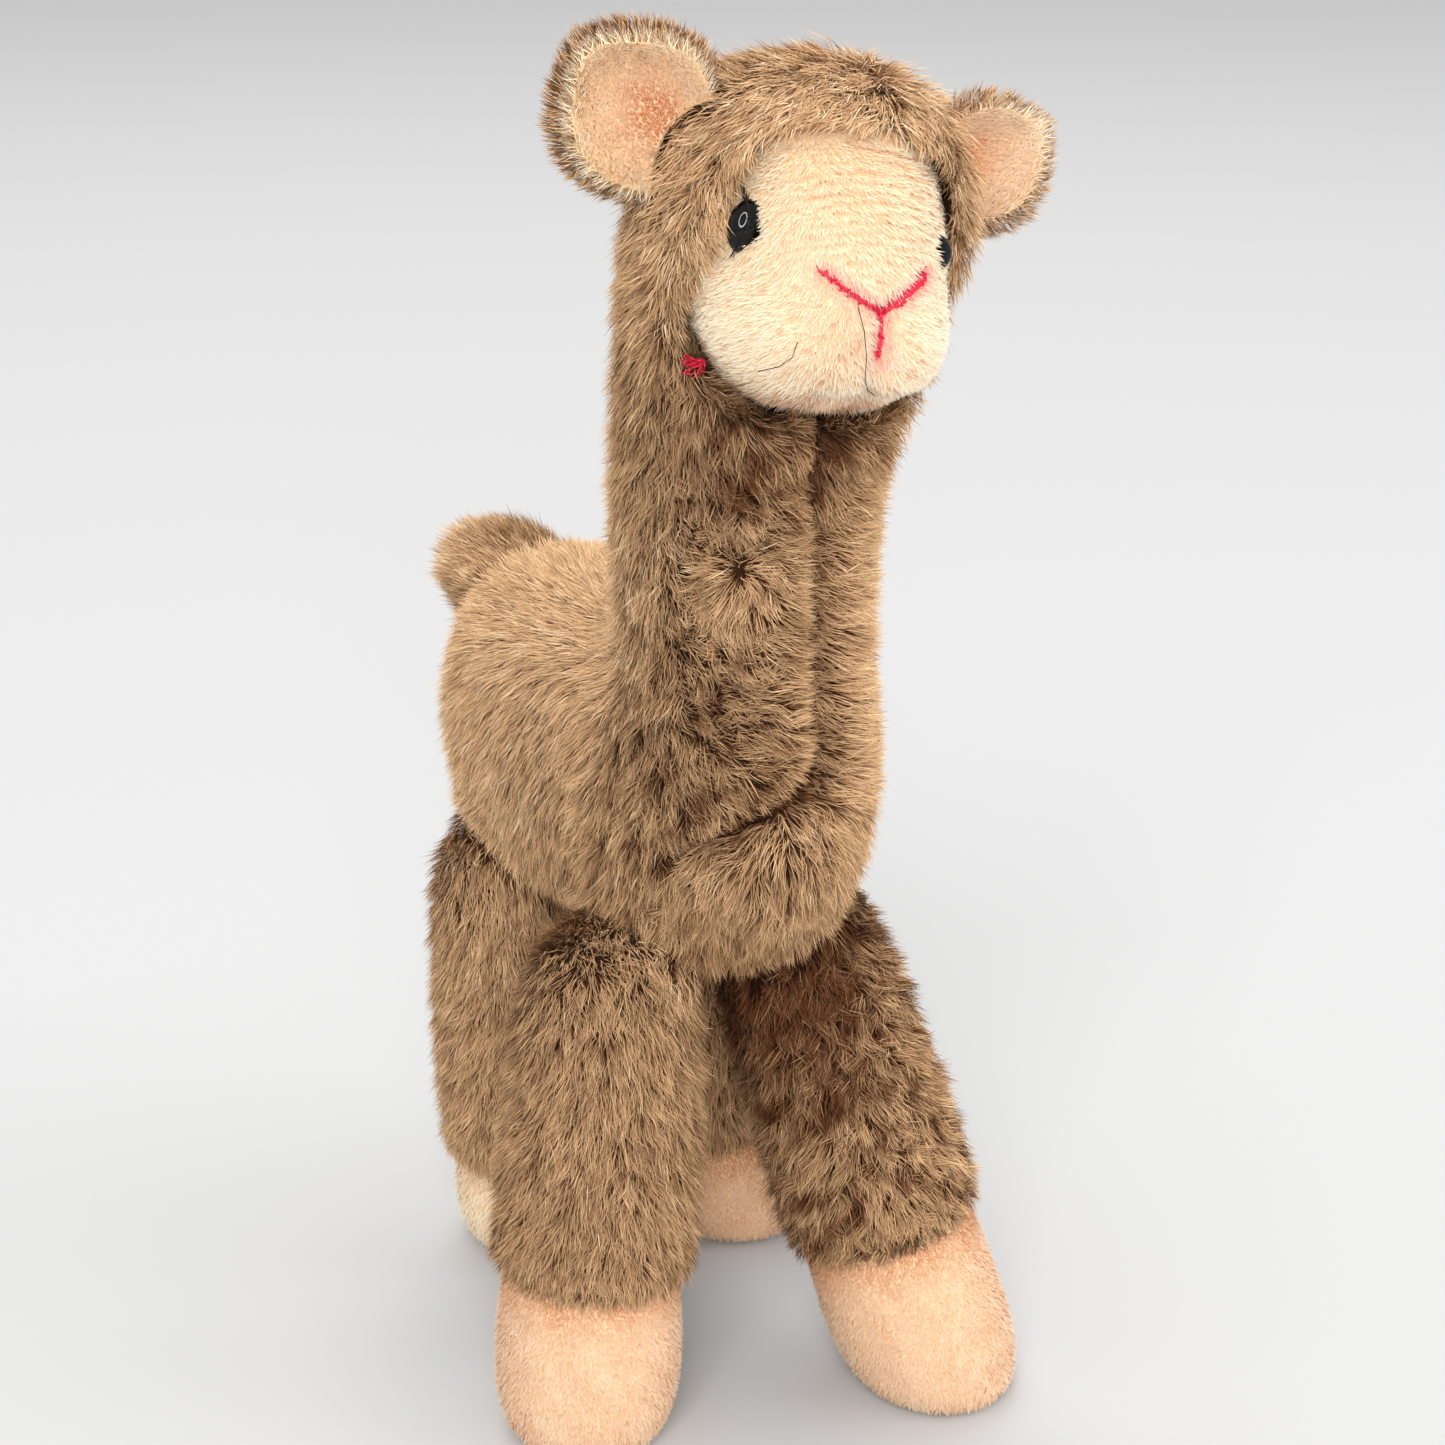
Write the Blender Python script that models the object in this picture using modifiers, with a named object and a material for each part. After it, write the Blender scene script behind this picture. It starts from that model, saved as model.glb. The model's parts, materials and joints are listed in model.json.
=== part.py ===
# A standing plush llama: sewn and stuffed skins, velour face and hooves, plastic eyes.
# It faces -Y with its right side at -X, and stands on four flat soles at z = 0.
import math

import bmesh
import bpy
from mathutils import Matrix, Vector
from mathutils.bvhtree import BVHTree

# Clearance between pieces that touch
GAP = 0.0003

# Torso
TORSO_WIDTH = 0.071
TORSO_SQUARENESS = 0.88
TORSO_HEIGHT = 0.082
BELLY_HEIGHT = 0.100
CHEST_Y = -0.021
RUMP_Y = 0.1165
CHEST_WIDTH = 0.052
CHEST_FULLNESS = 0.19

# Neck and head hood
NECK_WIDTH = 0.055
NECK_DEPTH = 0.065
NECK_BACK_FILLET = 0.006
WITHERS_HEIGHT = 0.188
HEAD_WIDTH = 0.073
HEAD_DEPTH = 0.066
HEAD_HEIGHT = 0.269
HEAD_TOP = 0.304
HEAD_LEAN = 0.007
HEAD_FORWARD = 0.009
FRINGE_FORWARD = 0.004
SEAM_DEPTH = 0.0055
SEAM_TURN_CHEST = math.radians(3.5)
SEAM_TURN_CHIN = math.radians(-14.0)

# Turn and tilt of the head on the neck
HEAD_TURN = math.radians(-10.0)
HEAD_TILT = math.radians(8.0)

# Face
CHEEK_WIDTH = 0.060
BROW_WIDTH = 0.047
FACE_HEIGHT = 0.062
FACE_REACH = 0.043
FACE_SUNK = 0.003
PATCH_TOP = 0.0235
PATCH_MARGIN = 0.0015
PATCH_DEPTH = 0.006
FACE_BACK = 0.024
MOUTH_DEPTH = 0.005

# Eyes
SPIN_STEPS = 16
EYE_RADIUS = 0.0057
EYE_DOME = 0.0042
EYE_SUNK = 0.0012
EYE_SPREAD = 0.0200
EYE_OFFSET = -0.0010
EYE_FORWARD = 0.0298
EYE_RISE = 0.0025
EYE_TURN = math.radians(70.0)
EYE_TILT = 0.12
EYE_RIM = 0.0007
SHANK_RADIUS = 0.0016
SHANK_LENGTH = 0.0115
BARB_HEIGHT = 0.0004
WASHER_RADIUS = 0.0065
WASHER_THICKNESS = 0.0014
WASHER_DEPTH = 0.0048

# Ears
EAR_LENGTH = 0.0335
EAR_WIDTH = 0.0315
FOLDED_EAR_WIDTH = 0.025
EAR_TURN = math.radians(12.0)
EAR_CUP = 0.0075
EAR_BACK_THICKNESS = 0.0045
EAR_LINING_THICKNESS = 0.0022
EAR_RIM = 0.0018
EAR_ROOT_SHARE = 0.42
EAR_TIP_SHARE = 0.14

# Legs and hooves
LEG_RADIUS = 0.0222
HOOF_RADIUS = 0.0215
HOOF_LENGTH = 0.047
FRONT_HOOF_HEIGHT = 0.037
REAR_HOOF_HEIGHT = 0.026
HOOF_TUCK = 1.10
HIP_HEIGHT = 0.120

# Tail
TAIL_LENGTH = 0.044
TAIL_WIDTH = 0.034
TAIL_THICKNESS = 0.026
TAIL_RISE = math.radians(14.0)
TAIL_SWING = math.radians(9.0)
TAIL_DEPTH = 0.017
TAIL_LEVEL = 0.72

# Embroidery
NOSE_THREAD = 0.0009
NOSE_WIDTH = 0.0215
NOSE_OFFSET = 0.0031
NOSE_ARM_RISE = 0.0075
NOSE_HEIGHT = -0.009
MOUTH_LENGTH = 0.0128
MOUTH_LEAN = 0.0024
TUFT_THREAD = 0.0008
TUFT_SIZE = 0.0045
TUFT_PLACE = (-0.0234, -0.0266)

# Colours from the photograph
BROWN = (0.33, 0.21, 0.12)
CREAM = (0.88, 0.66, 0.45)
BLACK = (0.010, 0.009, 0.008)
PINK = (0.62, 0.06, 0.12)
CLEAR_PLASTIC = (0.75, 0.75, 0.72)


def clear_scene():
    for item in list(bpy.data.objects):
        bpy.data.objects.remove(item, do_unlink=True)


def new_collection(name):
    group = bpy.data.collections.new(name)
    bpy.context.scene.collection.children.link(group)
    return group


def make_material(name, colour, roughness, metallic=0.0):
    material = bpy.data.materials.new(name)
    material.use_nodes = True
    shader = material.node_tree.nodes["Principled BSDF"]
    shader.inputs["Base Color"].default_value = (*colour, 1.0)
    shader.inputs["Roughness"].default_value = roughness
    shader.inputs["Metallic"].default_value = metallic
    material.diffuse_color = (*colour, 1.0)
    return material


def add_part(name, mesh, material, group, parent):
    part = bpy.data.objects.new(name, mesh)
    mesh.materials.append(material)
    mesh.shade_smooth()
    part.parent = parent
    group.objects.link(part)
    return part


def hide_cutter(cutter):
    cutter.hide_render = True
    cutter.display_type = "WIRE"


def subdivide(part, levels):
    smooth = part.modifiers.new("smooth", "SUBSURF")
    smooth.levels = levels
    smooth.render_levels = levels
    return smooth


def inflate(part, amount):
    swell = part.modifiers.new("swell", "DISPLACE")
    swell.direction = "NORMAL"
    swell.mid_level = 0.0
    swell.strength = amount


def cut(part, cutter):
    knife = part.modifiers.new("cut_" + cutter.name, "BOOLEAN")
    knife.operation = "DIFFERENCE"
    knife.solver = "EXACT"
    knife.object = cutter


def inflated_copy(source, group, parent, amount=GAP):
    # The same soft form, grown by the clearance, to cut a neighbour's seat
    cutter = bpy.data.objects.new(source.name + "_seat", source.data)
    cutter.parent = parent
    cutter.matrix_basis = source.matrix_basis.copy()
    group.objects.link(cutter)
    for modifier in source.modifiers:
        if modifier.type == "SUBSURF":
            subdivide(cutter, modifier.levels)
    inflate(cutter, amount)
    hide_cutter(cutter)
    return cutter


def loft_mesh(name, rings):
    # A closed cage through rings of equal point count, capped at both ends
    mesh = bpy.data.meshes.new(name)
    shape = bmesh.new()
    loops = [[shape.verts.new(point) for point in ring] for ring in rings]
    count = len(loops[0])
    for lower, upper in zip(loops, loops[1:]):
        for i in range(count):
            j = (i + 1) % count
            shape.faces.new((lower[i], lower[j], upper[j], upper[i]))
    shape.faces.new(list(reversed(loops[0])))
    shape.faces.new(loops[-1])
    bmesh.ops.recalc_face_normals(shape, faces=shape.faces)
    shape.to_mesh(mesh)
    shape.free()
    return mesh


def rounded(value, power):
    return math.copysign(abs(value) ** power, value)


def oval_ring(centre, side, front, half_width, half_depth, angles, pull=0.0, power=1.0):
    # One cross-section: angle 0 lies on the front, where the seam pulls the skin in.
    # A power below 1 squares the oval off
    ring = []
    for step, angle in enumerate(angles):
        across = half_width * rounded(math.sin(angle), power)
        spoke = side * across + front * (half_depth * rounded(math.cos(angle), power))
        if step == 0:
            spoke -= spoke.normalized() * pull
        ring.append(centre + spoke)
    return ring


def even_angles(count):
    return [math.tau * i / count for i in range(count)]


def seam_angles():
    # Closer together beside the front seam, so that its groove stays narrow
    half = [math.radians(step) for step in (13.0, 30.0, 52.0, 76.0, 101.0, 127.0, 153.0)]
    return [0.0] + half + [math.pi] + [math.tau - angle for angle in reversed(half)]


def torso_rings(angles):
    # From the rump to the withers, sections square to the torso
    rings = []
    middle = BELLY_HEIGHT + TORSO_HEIGHT / 2
    withers_y = CHEST_Y + NECK_DEPTH + NECK_BACK_FILLET
    length = RUMP_Y - withers_y
    profile = ((0.0, 0.32), (0.04, 0.70), (0.16, 0.92), (0.38, 1.0), (0.68, 1.0))
    for along, share in profile:
        centre = Vector((0.0, RUMP_Y - along * length, middle))
        rings.append(oval_ring(centre, Vector((1, 0, 0)), Vector((0, 0, -1)),
                               share * TORSO_WIDTH / 2, share * TORSO_HEIGHT / 2, angles,
                               power=TORSO_SQUARENESS))
    return rings


def chest_rings(angles):
    # Sections fan round the withers, from square to the torso to square to the neck
    pivot = Vector((0.0, CHEST_Y + NECK_DEPTH + NECK_BACK_FILLET, WITHERS_HEIGHT))
    belly_reach = WITHERS_HEIGHT - BELLY_HEIGHT
    front_reach = NECK_DEPTH + NECK_BACK_FILLET
    rings = []
    for turn in (8.0, 28.0, 48.0, 66.0, 82.0):
        angle = math.radians(turn)
        front = Vector((0.0, -math.sin(angle), -math.cos(angle)))
        corner = 1.0 + CHEST_FULLNESS * math.sin(2 * angle) ** 2
        outer = (belly_reach * math.cos(angle) ** 2 + front_reach * math.sin(angle) ** 2) * corner
        inner = NECK_BACK_FILLET * (0.4 + 0.6 * math.sin(angle))
        width = TORSO_WIDTH + (CHEST_WIDTH - TORSO_WIDTH) * math.sin(angle) ** 2.1
        centre = pivot + front * ((outer + inner) / 2)
        pull = SEAM_DEPTH * math.sin(angle) ** 4
        twist = SEAM_TURN_CHEST * math.sin(angle) ** 2
        turned = [angle + twist for angle in angles]
        power = TORSO_SQUARENESS + (1.0 - TORSO_SQUARENESS) * math.sin(angle) ** 2
        rings.append(oval_ring(centre, Vector((1, 0, 0)), front, width / 2, (outer - inner) / 2,
                               turned, pull, power))
    return rings


def neck_rings(angles):
    # Up the neck, leaning and turning a little towards the head
    rings = []
    neck_y = CHEST_Y + NECK_DEPTH / 2
    rise = HEAD_HEIGHT - WITHERS_HEIGHT
    for step in (0.08, 0.28, 0.48, 0.66, 0.83, 1.0):
        blend = max(0.0, (step - 0.25) / 0.75) ** 1.3
        centre = Vector((HEAD_LEAN * blend, neck_y - HEAD_FORWARD * blend, WITHERS_HEIGHT + rise * step))
        half_width = (NECK_WIDTH + (HEAD_WIDTH - NECK_WIDTH) * blend) / 2
        half_depth = (NECK_DEPTH + (HEAD_DEPTH - NECK_DEPTH) * blend) / 2
        turned = Matrix.Rotation(HEAD_TURN * blend, 3, "Z")
        twist = SEAM_TURN_CHEST + (SEAM_TURN_CHIN - SEAM_TURN_CHEST) * blend
        twisted = [angle + twist for angle in angles]
        rings.append(oval_ring(centre, turned @ Vector((1, 0, 0)), turned @ Vector((0, -1, 0)),
                               half_width, half_depth, twisted, SEAM_DEPTH * (1.0 - blend * 0.6)))
    return rings


def crown_rings(angles):
    # Close the hood over the head as a rounded crown
    rings = []
    centre = head_centre()
    crown = HEAD_TOP - HEAD_HEIGHT
    turned = Matrix.Rotation(HEAD_TURN, 3, "Z")
    for turn in (22.0, 42.0, 60.0, 76.0):
        angle = math.radians(turn)
        lift = Vector((0.0, -FRINGE_FORWARD * math.sin(2 * angle), crown * math.sin(angle) * 1.03))
        share = math.cos(angle) ** 0.85
        rings.append(oval_ring(centre + lift, turned @ Vector((1, 0, 0)), turned @ Vector((0, -1, 0)),
                               share * HEAD_WIDTH / 2, share * HEAD_DEPTH / 2, angles))
    return rings


def head_centre():
    return Vector((HEAD_LEAN, CHEST_Y + NECK_DEPTH / 2 - HEAD_FORWARD, HEAD_HEIGHT))


def head_frame():
    # The head's own axes: -Y to the nose, +Z to the crown
    turn = Matrix.Rotation(HEAD_TURN, 4, "Z") @ Matrix.Rotation(HEAD_TILT, 4, "Y")
    return Matrix.Translation(head_centre()) @ turn


def make_body(material, group, parent):
    angles = seam_angles()
    rings = torso_rings(angles) + chest_rings(angles) + neck_rings(angles) + crown_rings(angles)
    body = add_part("body", loft_mesh("body", rings), material, group, parent)
    subdivide(body, 1)
    return body


def make_face(material, group, parent):
    # Rings run from the sunk back edge to the tip of the nose, along the head's -Y
    angles = even_angles(16)
    back = FACE_BACK - HEAD_DEPTH / 2
    tip = -FACE_REACH
    profile = (
        (-0.10, 0.80, 0.84, 0.03), (0.12, 0.97, 0.97, 0.02), (0.34, 1.00, 1.00, 0.00),
        (0.56, 0.93, 0.94, -0.03), (0.76, 0.78, 0.78, -0.08), (0.91, 0.56, 0.56, -0.12),
        (1.0, 0.28, 0.28, -0.14),
    )
    rings = []
    for along, wide, tall, drop in profile:
        centre = Vector((0.0, back + (tip - back) * along, drop * FACE_HEIGHT - FACE_SUNK))
        ring = []
        for angle in angles:
            cheek = min(1.0, max(0.0, (math.cos(angle) + 0.25) / 0.85))
            cheek = cheek * cheek * (3 - 2 * cheek)
            half_width = wide * (BROW_WIDTH + (CHEEK_WIDTH - BROW_WIDTH) * cheek) / 2
            across = half_width * rounded(math.sin(angle), 0.68 + 0.17 * cheek)
            ring.append(centre + Vector((across, 0.0, -tall * FACE_HEIGHT / 2 * math.cos(angle))))
        pulled = centre + (ring[0] - centre) * (1.0 - MOUTH_DEPTH * along / (FACE_HEIGHT / 2))
        ring[0] = pulled if along > 0.5 else ring[0]
        rings.append(ring)
    face = add_part("face", loft_mesh("face", rings), material, group, parent)
    face.matrix_basis = head_frame()
    subdivide(face, 1)
    return face


def patch_outline():
    # Where the velour shows: an arch under the fringe, wider at the cheeks, down to the chin
    brow = BROW_WIDTH / 2 - PATCH_MARGIN
    cheek = CHEEK_WIDTH / 2 - 2 * PATCH_MARGIN
    chin = -FACE_HEIGHT / 2 - FACE_SUNK
    half = [(brow * 0.50, PATCH_TOP * 0.95), (brow * 0.84, PATCH_TOP * 0.79), (brow, PATCH_TOP * 0.49),
            (brow + PATCH_MARGIN, 0.0), (cheek * 0.95, chin * 0.25), (cheek, chin * 0.45),
            (cheek * 0.93, chin * 0.72), (cheek * 0.55, chin * 0.93)]
    left = [(-x, z) for x, z in reversed(half)]
    return [(0.0, PATCH_TOP)] + half + [(0.0, chin * 0.97)] + left


def make_patch_cutter(group, parent):
    # Opens the hood in front of the face, so that the pile stands proud round it
    rings = [[Vector((x, y, z)) for x, z in patch_outline()] for y in (-2 * FACE_REACH, -PATCH_DEPTH)]
    cutter = bpy.data.objects.new("face_opening", loft_mesh("face_opening", rings))
    cutter.parent = parent
    cutter.matrix_basis = head_frame()
    group.objects.link(cutter)
    hide_cutter(cutter)
    return cutter


def turned_mesh(name, profile):
    # A profile in the XZ plane, for a Screw modifier round Z
    mesh = bpy.data.meshes.new(name)
    edges = [(i, i + 1) for i in range(len(profile) - 1)]
    mesh.from_pydata([(radius, 0.0, height) for radius, height in profile], edges, [])
    return mesh


def spin(part):
    screw = part.modifiers.new("turn", "SCREW")
    screw.steps = SPIN_STEPS
    screw.render_steps = SPIN_STEPS
    screw.use_merge_vertices = True
    screw.merge_threshold = 0.00001
    screw.use_normal_calculate = False


def eye_profile(grow=0.0):
    # Dome, flat back, and a shank with two barbs for the washer
    profile = []
    radius = EYE_RADIUS + grow
    dome = EYE_DOME + grow
    for step in range(7):
        angle = math.pi / 2 * (1 - step / 6)
        profile.append((radius * math.cos(angle), dome * math.sin(angle)))
    profile[0] = (0.0, dome)
    profile.append((radius - EYE_RIM, -EYE_RIM - grow))
    shank = SHANK_RADIUS + grow
    profile.append((shank, -EYE_RIM - grow))
    if grow == 0.0:
        for barb in (1, 2):
            start = WASHER_DEPTH + 0.5 * WASHER_THICKNESS + barb * 3 * BARB_HEIGHT
            profile.append((shank, -start))
            profile.append((shank + BARB_HEIGHT, -start - BARB_HEIGHT))
            profile.append((shank, -start - 2 * BARB_HEIGHT))
        profile.append((shank, -SHANK_LENGTH))
        profile.append((0.0, -SHANK_LENGTH))
    else:
        profile.append((shank, -WASHER_DEPTH + WASHER_THICKNESS / 2))
        profile.append((shank + BARB_HEIGHT, -WASHER_DEPTH))
        profile.append((shank + BARB_HEIGHT, -SHANK_LENGTH - grow))
        profile.append((0.0, -SHANK_LENGTH - grow))
    return profile


def washer_profile(grow=0.0):
    # A flat ring, closed on itself
    low = -WASHER_DEPTH - WASHER_THICKNESS / 2 - grow
    high = -WASHER_DEPTH + WASHER_THICKNESS / 2 + grow
    inner = SHANK_RADIUS + GAP
    outer = WASHER_RADIUS + grow
    if grow > 0.0:
        return [(0.0, high), (outer, high), (outer, low), (0.0, low)]
    return [(inner, high), (outer, high), (outer, low), (inner, low), (inner, high)]


def surface_of(part):
    # The part's evaluated surface, in the head's axes, to seat small pieces on
    graph = bpy.context.evaluated_depsgraph_get()
    shape = bmesh.new()
    shape.from_mesh(part.evaluated_get(graph).to_mesh())
    bmesh.ops.transform(shape, matrix=head_frame().inverted() @ part.matrix_basis, verts=shape.verts)
    tree = BVHTree.FromBMesh(shape)
    shape.free()
    return tree


def eye_frame(face_surface, side):
    # On the side of the muzzle, looking out and forwards, pressed into the pile
    outward = Vector((side * math.sin(EYE_TURN), -math.cos(EYE_TURN), EYE_TILT)).normalized()
    aim = Vector((side * EYE_SPREAD + EYE_OFFSET, -EYE_FORWARD, EYE_RISE)) + outward * HEAD_DEPTH
    hit = face_surface.ray_cast(aim, -outward)[0]
    place = hit - outward * EYE_SUNK
    return head_frame() @ Matrix.Translation(place) @ outward.to_track_quat("Z", "Y").to_matrix().to_4x4()


def make_eye(side, label, frame, face, materials, groups, parent):
    parts, cutters = groups
    eye = add_part("eye_" + label, turned_mesh("eye_" + label, eye_profile()),
                   materials["black"], parts, parent)
    eye.matrix_basis = frame
    spin(eye)
    washer = add_part("eye_washer_" + label, turned_mesh("washer_" + label, washer_profile()),
                      materials["clear"], parts, parent)
    washer.matrix_basis = frame
    spin(washer)
    for name, profile in (("eye_socket_", eye_profile(GAP)), ("washer_pocket_", washer_profile(GAP))):
        cutter = bpy.data.objects.new(name + label, turned_mesh(name + label, profile))
        cutter.parent = parent
        cutter.matrix_basis = frame
        cutters.objects.link(cutter)
        spin(cutter)
        hide_cutter(cutter)
        cut(face, cutter)


def ear_outline(along):
    # Half-width of the leaf: narrow at its root, widest past the middle, round at the tip
    swell = math.sin(math.pi * min(1.0, along / 1.24) ** 0.9)
    tip = math.sqrt(max(0.0, 1.0 - max(0.0, (along - 0.6) / 0.4) ** 2.4))
    return (EAR_ROOT_SHARE * (1 - along) ** 2 + swell) * max(tip, EAR_TIP_SHARE)


def ear_sheet(name, full_width, inset, lift, thickness):
    # A cupped leaf in the XZ plane, hollow side to -Y, as a closed cage of two skins
    across = 6
    along = 7
    width = full_width / 2 - inset
    length = EAR_LENGTH - inset
    mesh = bpy.data.meshes.new(name)
    shape = bmesh.new()
    skins = []
    for depth in (0.0, thickness):
        rows = []
        for row in range(along + 1):
            v = row / along
            half = width * ear_outline(v)
            line = []
            for column in range(across + 1):
                u = 2.0 * column / across - 1.0
                x = half * u
                rim = (half * u / width) ** 2 + (max(0.0, v - 0.55) / 0.45) ** 2 * 0.8
                y = lift - EAR_CUP * rim + depth
                line.append(shape.verts.new((x, y, v * length)))
            rows.append(line)
        skins.append(rows)
    front, back = skins
    for row in range(along):
        for column in range(across):
            a, b = front[row][column], front[row][column + 1]
            c, d = front[row + 1][column + 1], front[row + 1][column]
            shape.faces.new((a, b, c, d))
            a, b = back[row][column], back[row][column + 1]
            c, d = back[row + 1][column + 1], back[row + 1][column]
            shape.faces.new((d, c, b, a))
    border = [(0, c) for c in range(across)] + [(r, across) for r in range(along)]
    border += [(along, c) for c in range(across, 0, -1)] + [(r, 0) for r in range(along, 0, -1)]
    for i, (row, column) in enumerate(border):
        next_row, next_column = border[(i + 1) % len(border)]
        shape.faces.new((front[next_row][next_column], front[row][column],
                         back[row][column], back[next_row][next_column]))
    bmesh.ops.recalc_face_normals(shape, faces=shape.faces)
    shape.to_mesh(mesh)
    shape.free()
    return mesh


# Each ear: its root in the head's axes, how far it leans out, how far it rolls on its own
# length, and its width; the left one droops and is folded narrower
EARS = {
    "right": (Vector((-0.0258, -0.007, 0.0082)), math.radians(46.0), math.radians(6.0), EAR_WIDTH),
    "left": (Vector((0.0264, 0.004, 0.0052)), math.radians(56.0), math.radians(-20.0), FOLDED_EAR_WIDTH),
}


def ear_frame(side, label):
    # Root on the side of the crown, leaning out, its hollow facing forwards and out
    root, lean, roll, _ = EARS[label]
    lean_out = Matrix.Rotation(side * EAR_TURN, 4, "Z") @ Matrix.Rotation(side * lean, 4, "Y")
    return head_frame() @ Matrix.Translation(root) @ lean_out @ Matrix.Rotation(roll, 4, "Z")


def make_ear(side, label, seat, materials, groups, parent):
    parts, _ = groups
    frame = ear_frame(side, label)
    width = EARS[label][3]
    sheet = ear_sheet("ear_back_" + label, width, 0.0, 0.0, EAR_BACK_THICKNESS)
    back = add_part("ear_back_" + label, sheet, materials["brown"], parts, parent)
    lift = -EAR_LINING_THICKNESS - GAP
    sheet = ear_sheet("ear_lining_" + label, width, EAR_RIM, lift, EAR_LINING_THICKNESS)
    lining = add_part("ear_lining_" + label, sheet, materials["cream"], parts, parent)
    for leaf in (back, lining):
        leaf.matrix_basis = frame
        subdivide(leaf, 1)
        cut(leaf, seat)


# Each leg: the middle of its hip, the middle of its sole, and how high the hoof reaches
LEGS = {
    "front_right": (Vector((-0.0265, 0.019, HIP_HEIGHT)), Vector((-0.0410, 0.011, 0.0)), FRONT_HOOF_HEIGHT),
    "front_left": (Vector((0.0140, 0.021, HIP_HEIGHT)), Vector((0.0400, -0.0115, 0.0)), FRONT_HOOF_HEIGHT),
    "rear_right": (Vector((-0.0210, 0.090, HIP_HEIGHT)), Vector((-0.0140, 0.093, 0.0)), REAR_HOOF_HEIGHT),
    "rear_left": (Vector((0.0210, 0.088, HIP_HEIGHT)), Vector((0.0340, 0.078, 0.0)), REAR_HOOF_HEIGHT),
}


def leg_ring(hip, sole, share, radius, length, angles, level):
    # level 0 is square to the leg and 1 is flat on the floor
    axis = (hip - sole).normalized()
    up = axis.lerp(Vector((0, 0, 1)), level).normalized()
    front = Vector((0, -1, 0))
    front = (front - up * front.dot(up)).normalized()
    side = up.cross(front).normalized()
    return oval_ring(sole.lerp(hip, share), side, front, radius, length, angles)


def make_leg(label, seat, floor, materials, groups, parent):
    # Rings are given as shares of the height up the leg and of its radius
    parts, cutters = groups
    hip, sole, hoof_height = LEGS[label]
    angles = even_angles(14)
    seam = hoof_height / HIP_HEIGHT
    profile = ((0.0, 0.93), (0.03, 1.04), (0.22, 1.06), (0.52, 1.01), (0.80, 0.95), (1.0, 0.66))
    rings = []
    for t, share in profile:
        radius = LEG_RADIUS * share
        rings.append(leg_ring(hip, sole, seam + (1.0 - seam) * t, radius, radius, angles, 0.0))
    leg = add_part("leg_" + label, loft_mesh("leg_" + label, rings), materials["brown"], parts, parent)
    subdivide(leg, 1)
    cut(leg, seat)
    hoof_profile = ((-0.06, 0.74, 1.0), (0.10, 0.93, 0.8), (0.34, 1.03, 0.6), (0.68, 1.02, 0.3),
                    (0.96, 0.98, 0.0), (HOOF_TUCK, 0.90, 0.0))
    toe = Vector((0.0, -(HOOF_LENGTH / 2 - HOOF_RADIUS), 0.0))
    rings = []
    for t, share, level in hoof_profile:
        ring = leg_ring(hip, sole, seam * t, HOOF_RADIUS * share,
                        (HOOF_LENGTH / 2 * level + HOOF_RADIUS * (1 - level)) * share, angles, level)
        rings.append([point + toe * level for point in ring])
    hoof = add_part("hoof_" + label, loft_mesh("hoof_" + label, rings), materials["cream"], parts, parent)
    subdivide(hoof, 1)
    cut(hoof, inflated_copy(leg, cutters, parent))
    cut(hoof, floor)


def make_floor_cutter(group, parent):
    # Everything below z = 0 is cut away, which leaves each hoof a flat sole
    mesh = bpy.data.meshes.new("sole_plane")
    shape = bmesh.new()
    bmesh.ops.create_cube(shape, size=1.0)
    bmesh.ops.translate(shape, verts=shape.verts, vec=(0.0, 0.0, -0.5))
    shape.to_mesh(mesh)
    shape.free()
    floor = bpy.data.objects.new("sole_plane", mesh)
    floor.parent = parent
    group.objects.link(floor)
    hide_cutter(floor)
    return floor


def make_tail(seat, material, groups, parent):
    parts, _ = groups
    angles = even_angles(12)
    profile = ((0.0, 0.55), (0.16, 0.80), (0.42, 1.0), (0.70, 0.98), (0.90, 0.70), (1.0, 0.34))
    rings = []
    for t, share in profile:
        rings.append(oval_ring(Vector((0.0, TAIL_LENGTH * t, 0.0)), Vector((1, 0, 0)), Vector((0, 0, -1)),
                               share * TAIL_WIDTH / 2, share * TAIL_THICKNESS / 2, angles))
    tail = add_part("tail", loft_mesh("tail", rings), material, parts, parent)
    root = Vector((0.0, RUMP_Y - TAIL_DEPTH, BELLY_HEIGHT + TORSO_HEIGHT * TAIL_LEVEL))
    turn = Matrix.Rotation(TAIL_SWING, 4, "Z") @ Matrix.Rotation(TAIL_RISE, 4, "X")
    tail.matrix_basis = Matrix.Translation(root) @ turn
    subdivide(tail, 1)
    cut(tail, seat)
    return tail


def on_surface(surface, x, z, lift):
    # The point of a surface straight behind (x, z) in the head's axes, lifted clear of it
    hit, normal, _, _ = surface.ray_cast(Vector((x, -0.2, z)), Vector((0, 1, 0)))
    return hit + normal * lift


def nose_points(face_surface):
    # The two arms of the nose and the mouth line, as one Y on the muzzle
    lift = NOSE_THREAD + GAP
    steps = 8
    arms = []
    for step in range(-steps, steps + 1):
        share = abs(step) / steps
        x = NOSE_OFFSET + NOSE_WIDTH / 2 * step / steps
        arms.append(on_surface(face_surface, x, NOSE_HEIGHT + NOSE_ARM_RISE * share ** 1.3, lift))
    mouth = []
    for step in range(steps + 1):
        z = NOSE_HEIGHT - MOUTH_LENGTH * step / steps
        mouth.append(on_surface(face_surface, NOSE_OFFSET + MOUTH_LEAN * step / steps, z, lift))
    return arms, mouth


def tuft_points(body_surface):
    # Two crossed stitches where the cheek meets the hood
    lift = TUFT_THREAD + GAP
    across, height = TUFT_PLACE
    arms = []
    for side in (-1, 1):
        arm = []
        for step in range(-2, 3):
            x = across + TUFT_SIZE / 4 * step
            arm.append(on_surface(body_surface, x, height + side * TUFT_SIZE / 4 * step, lift))
        arms.append(arm)
    return arms


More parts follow.
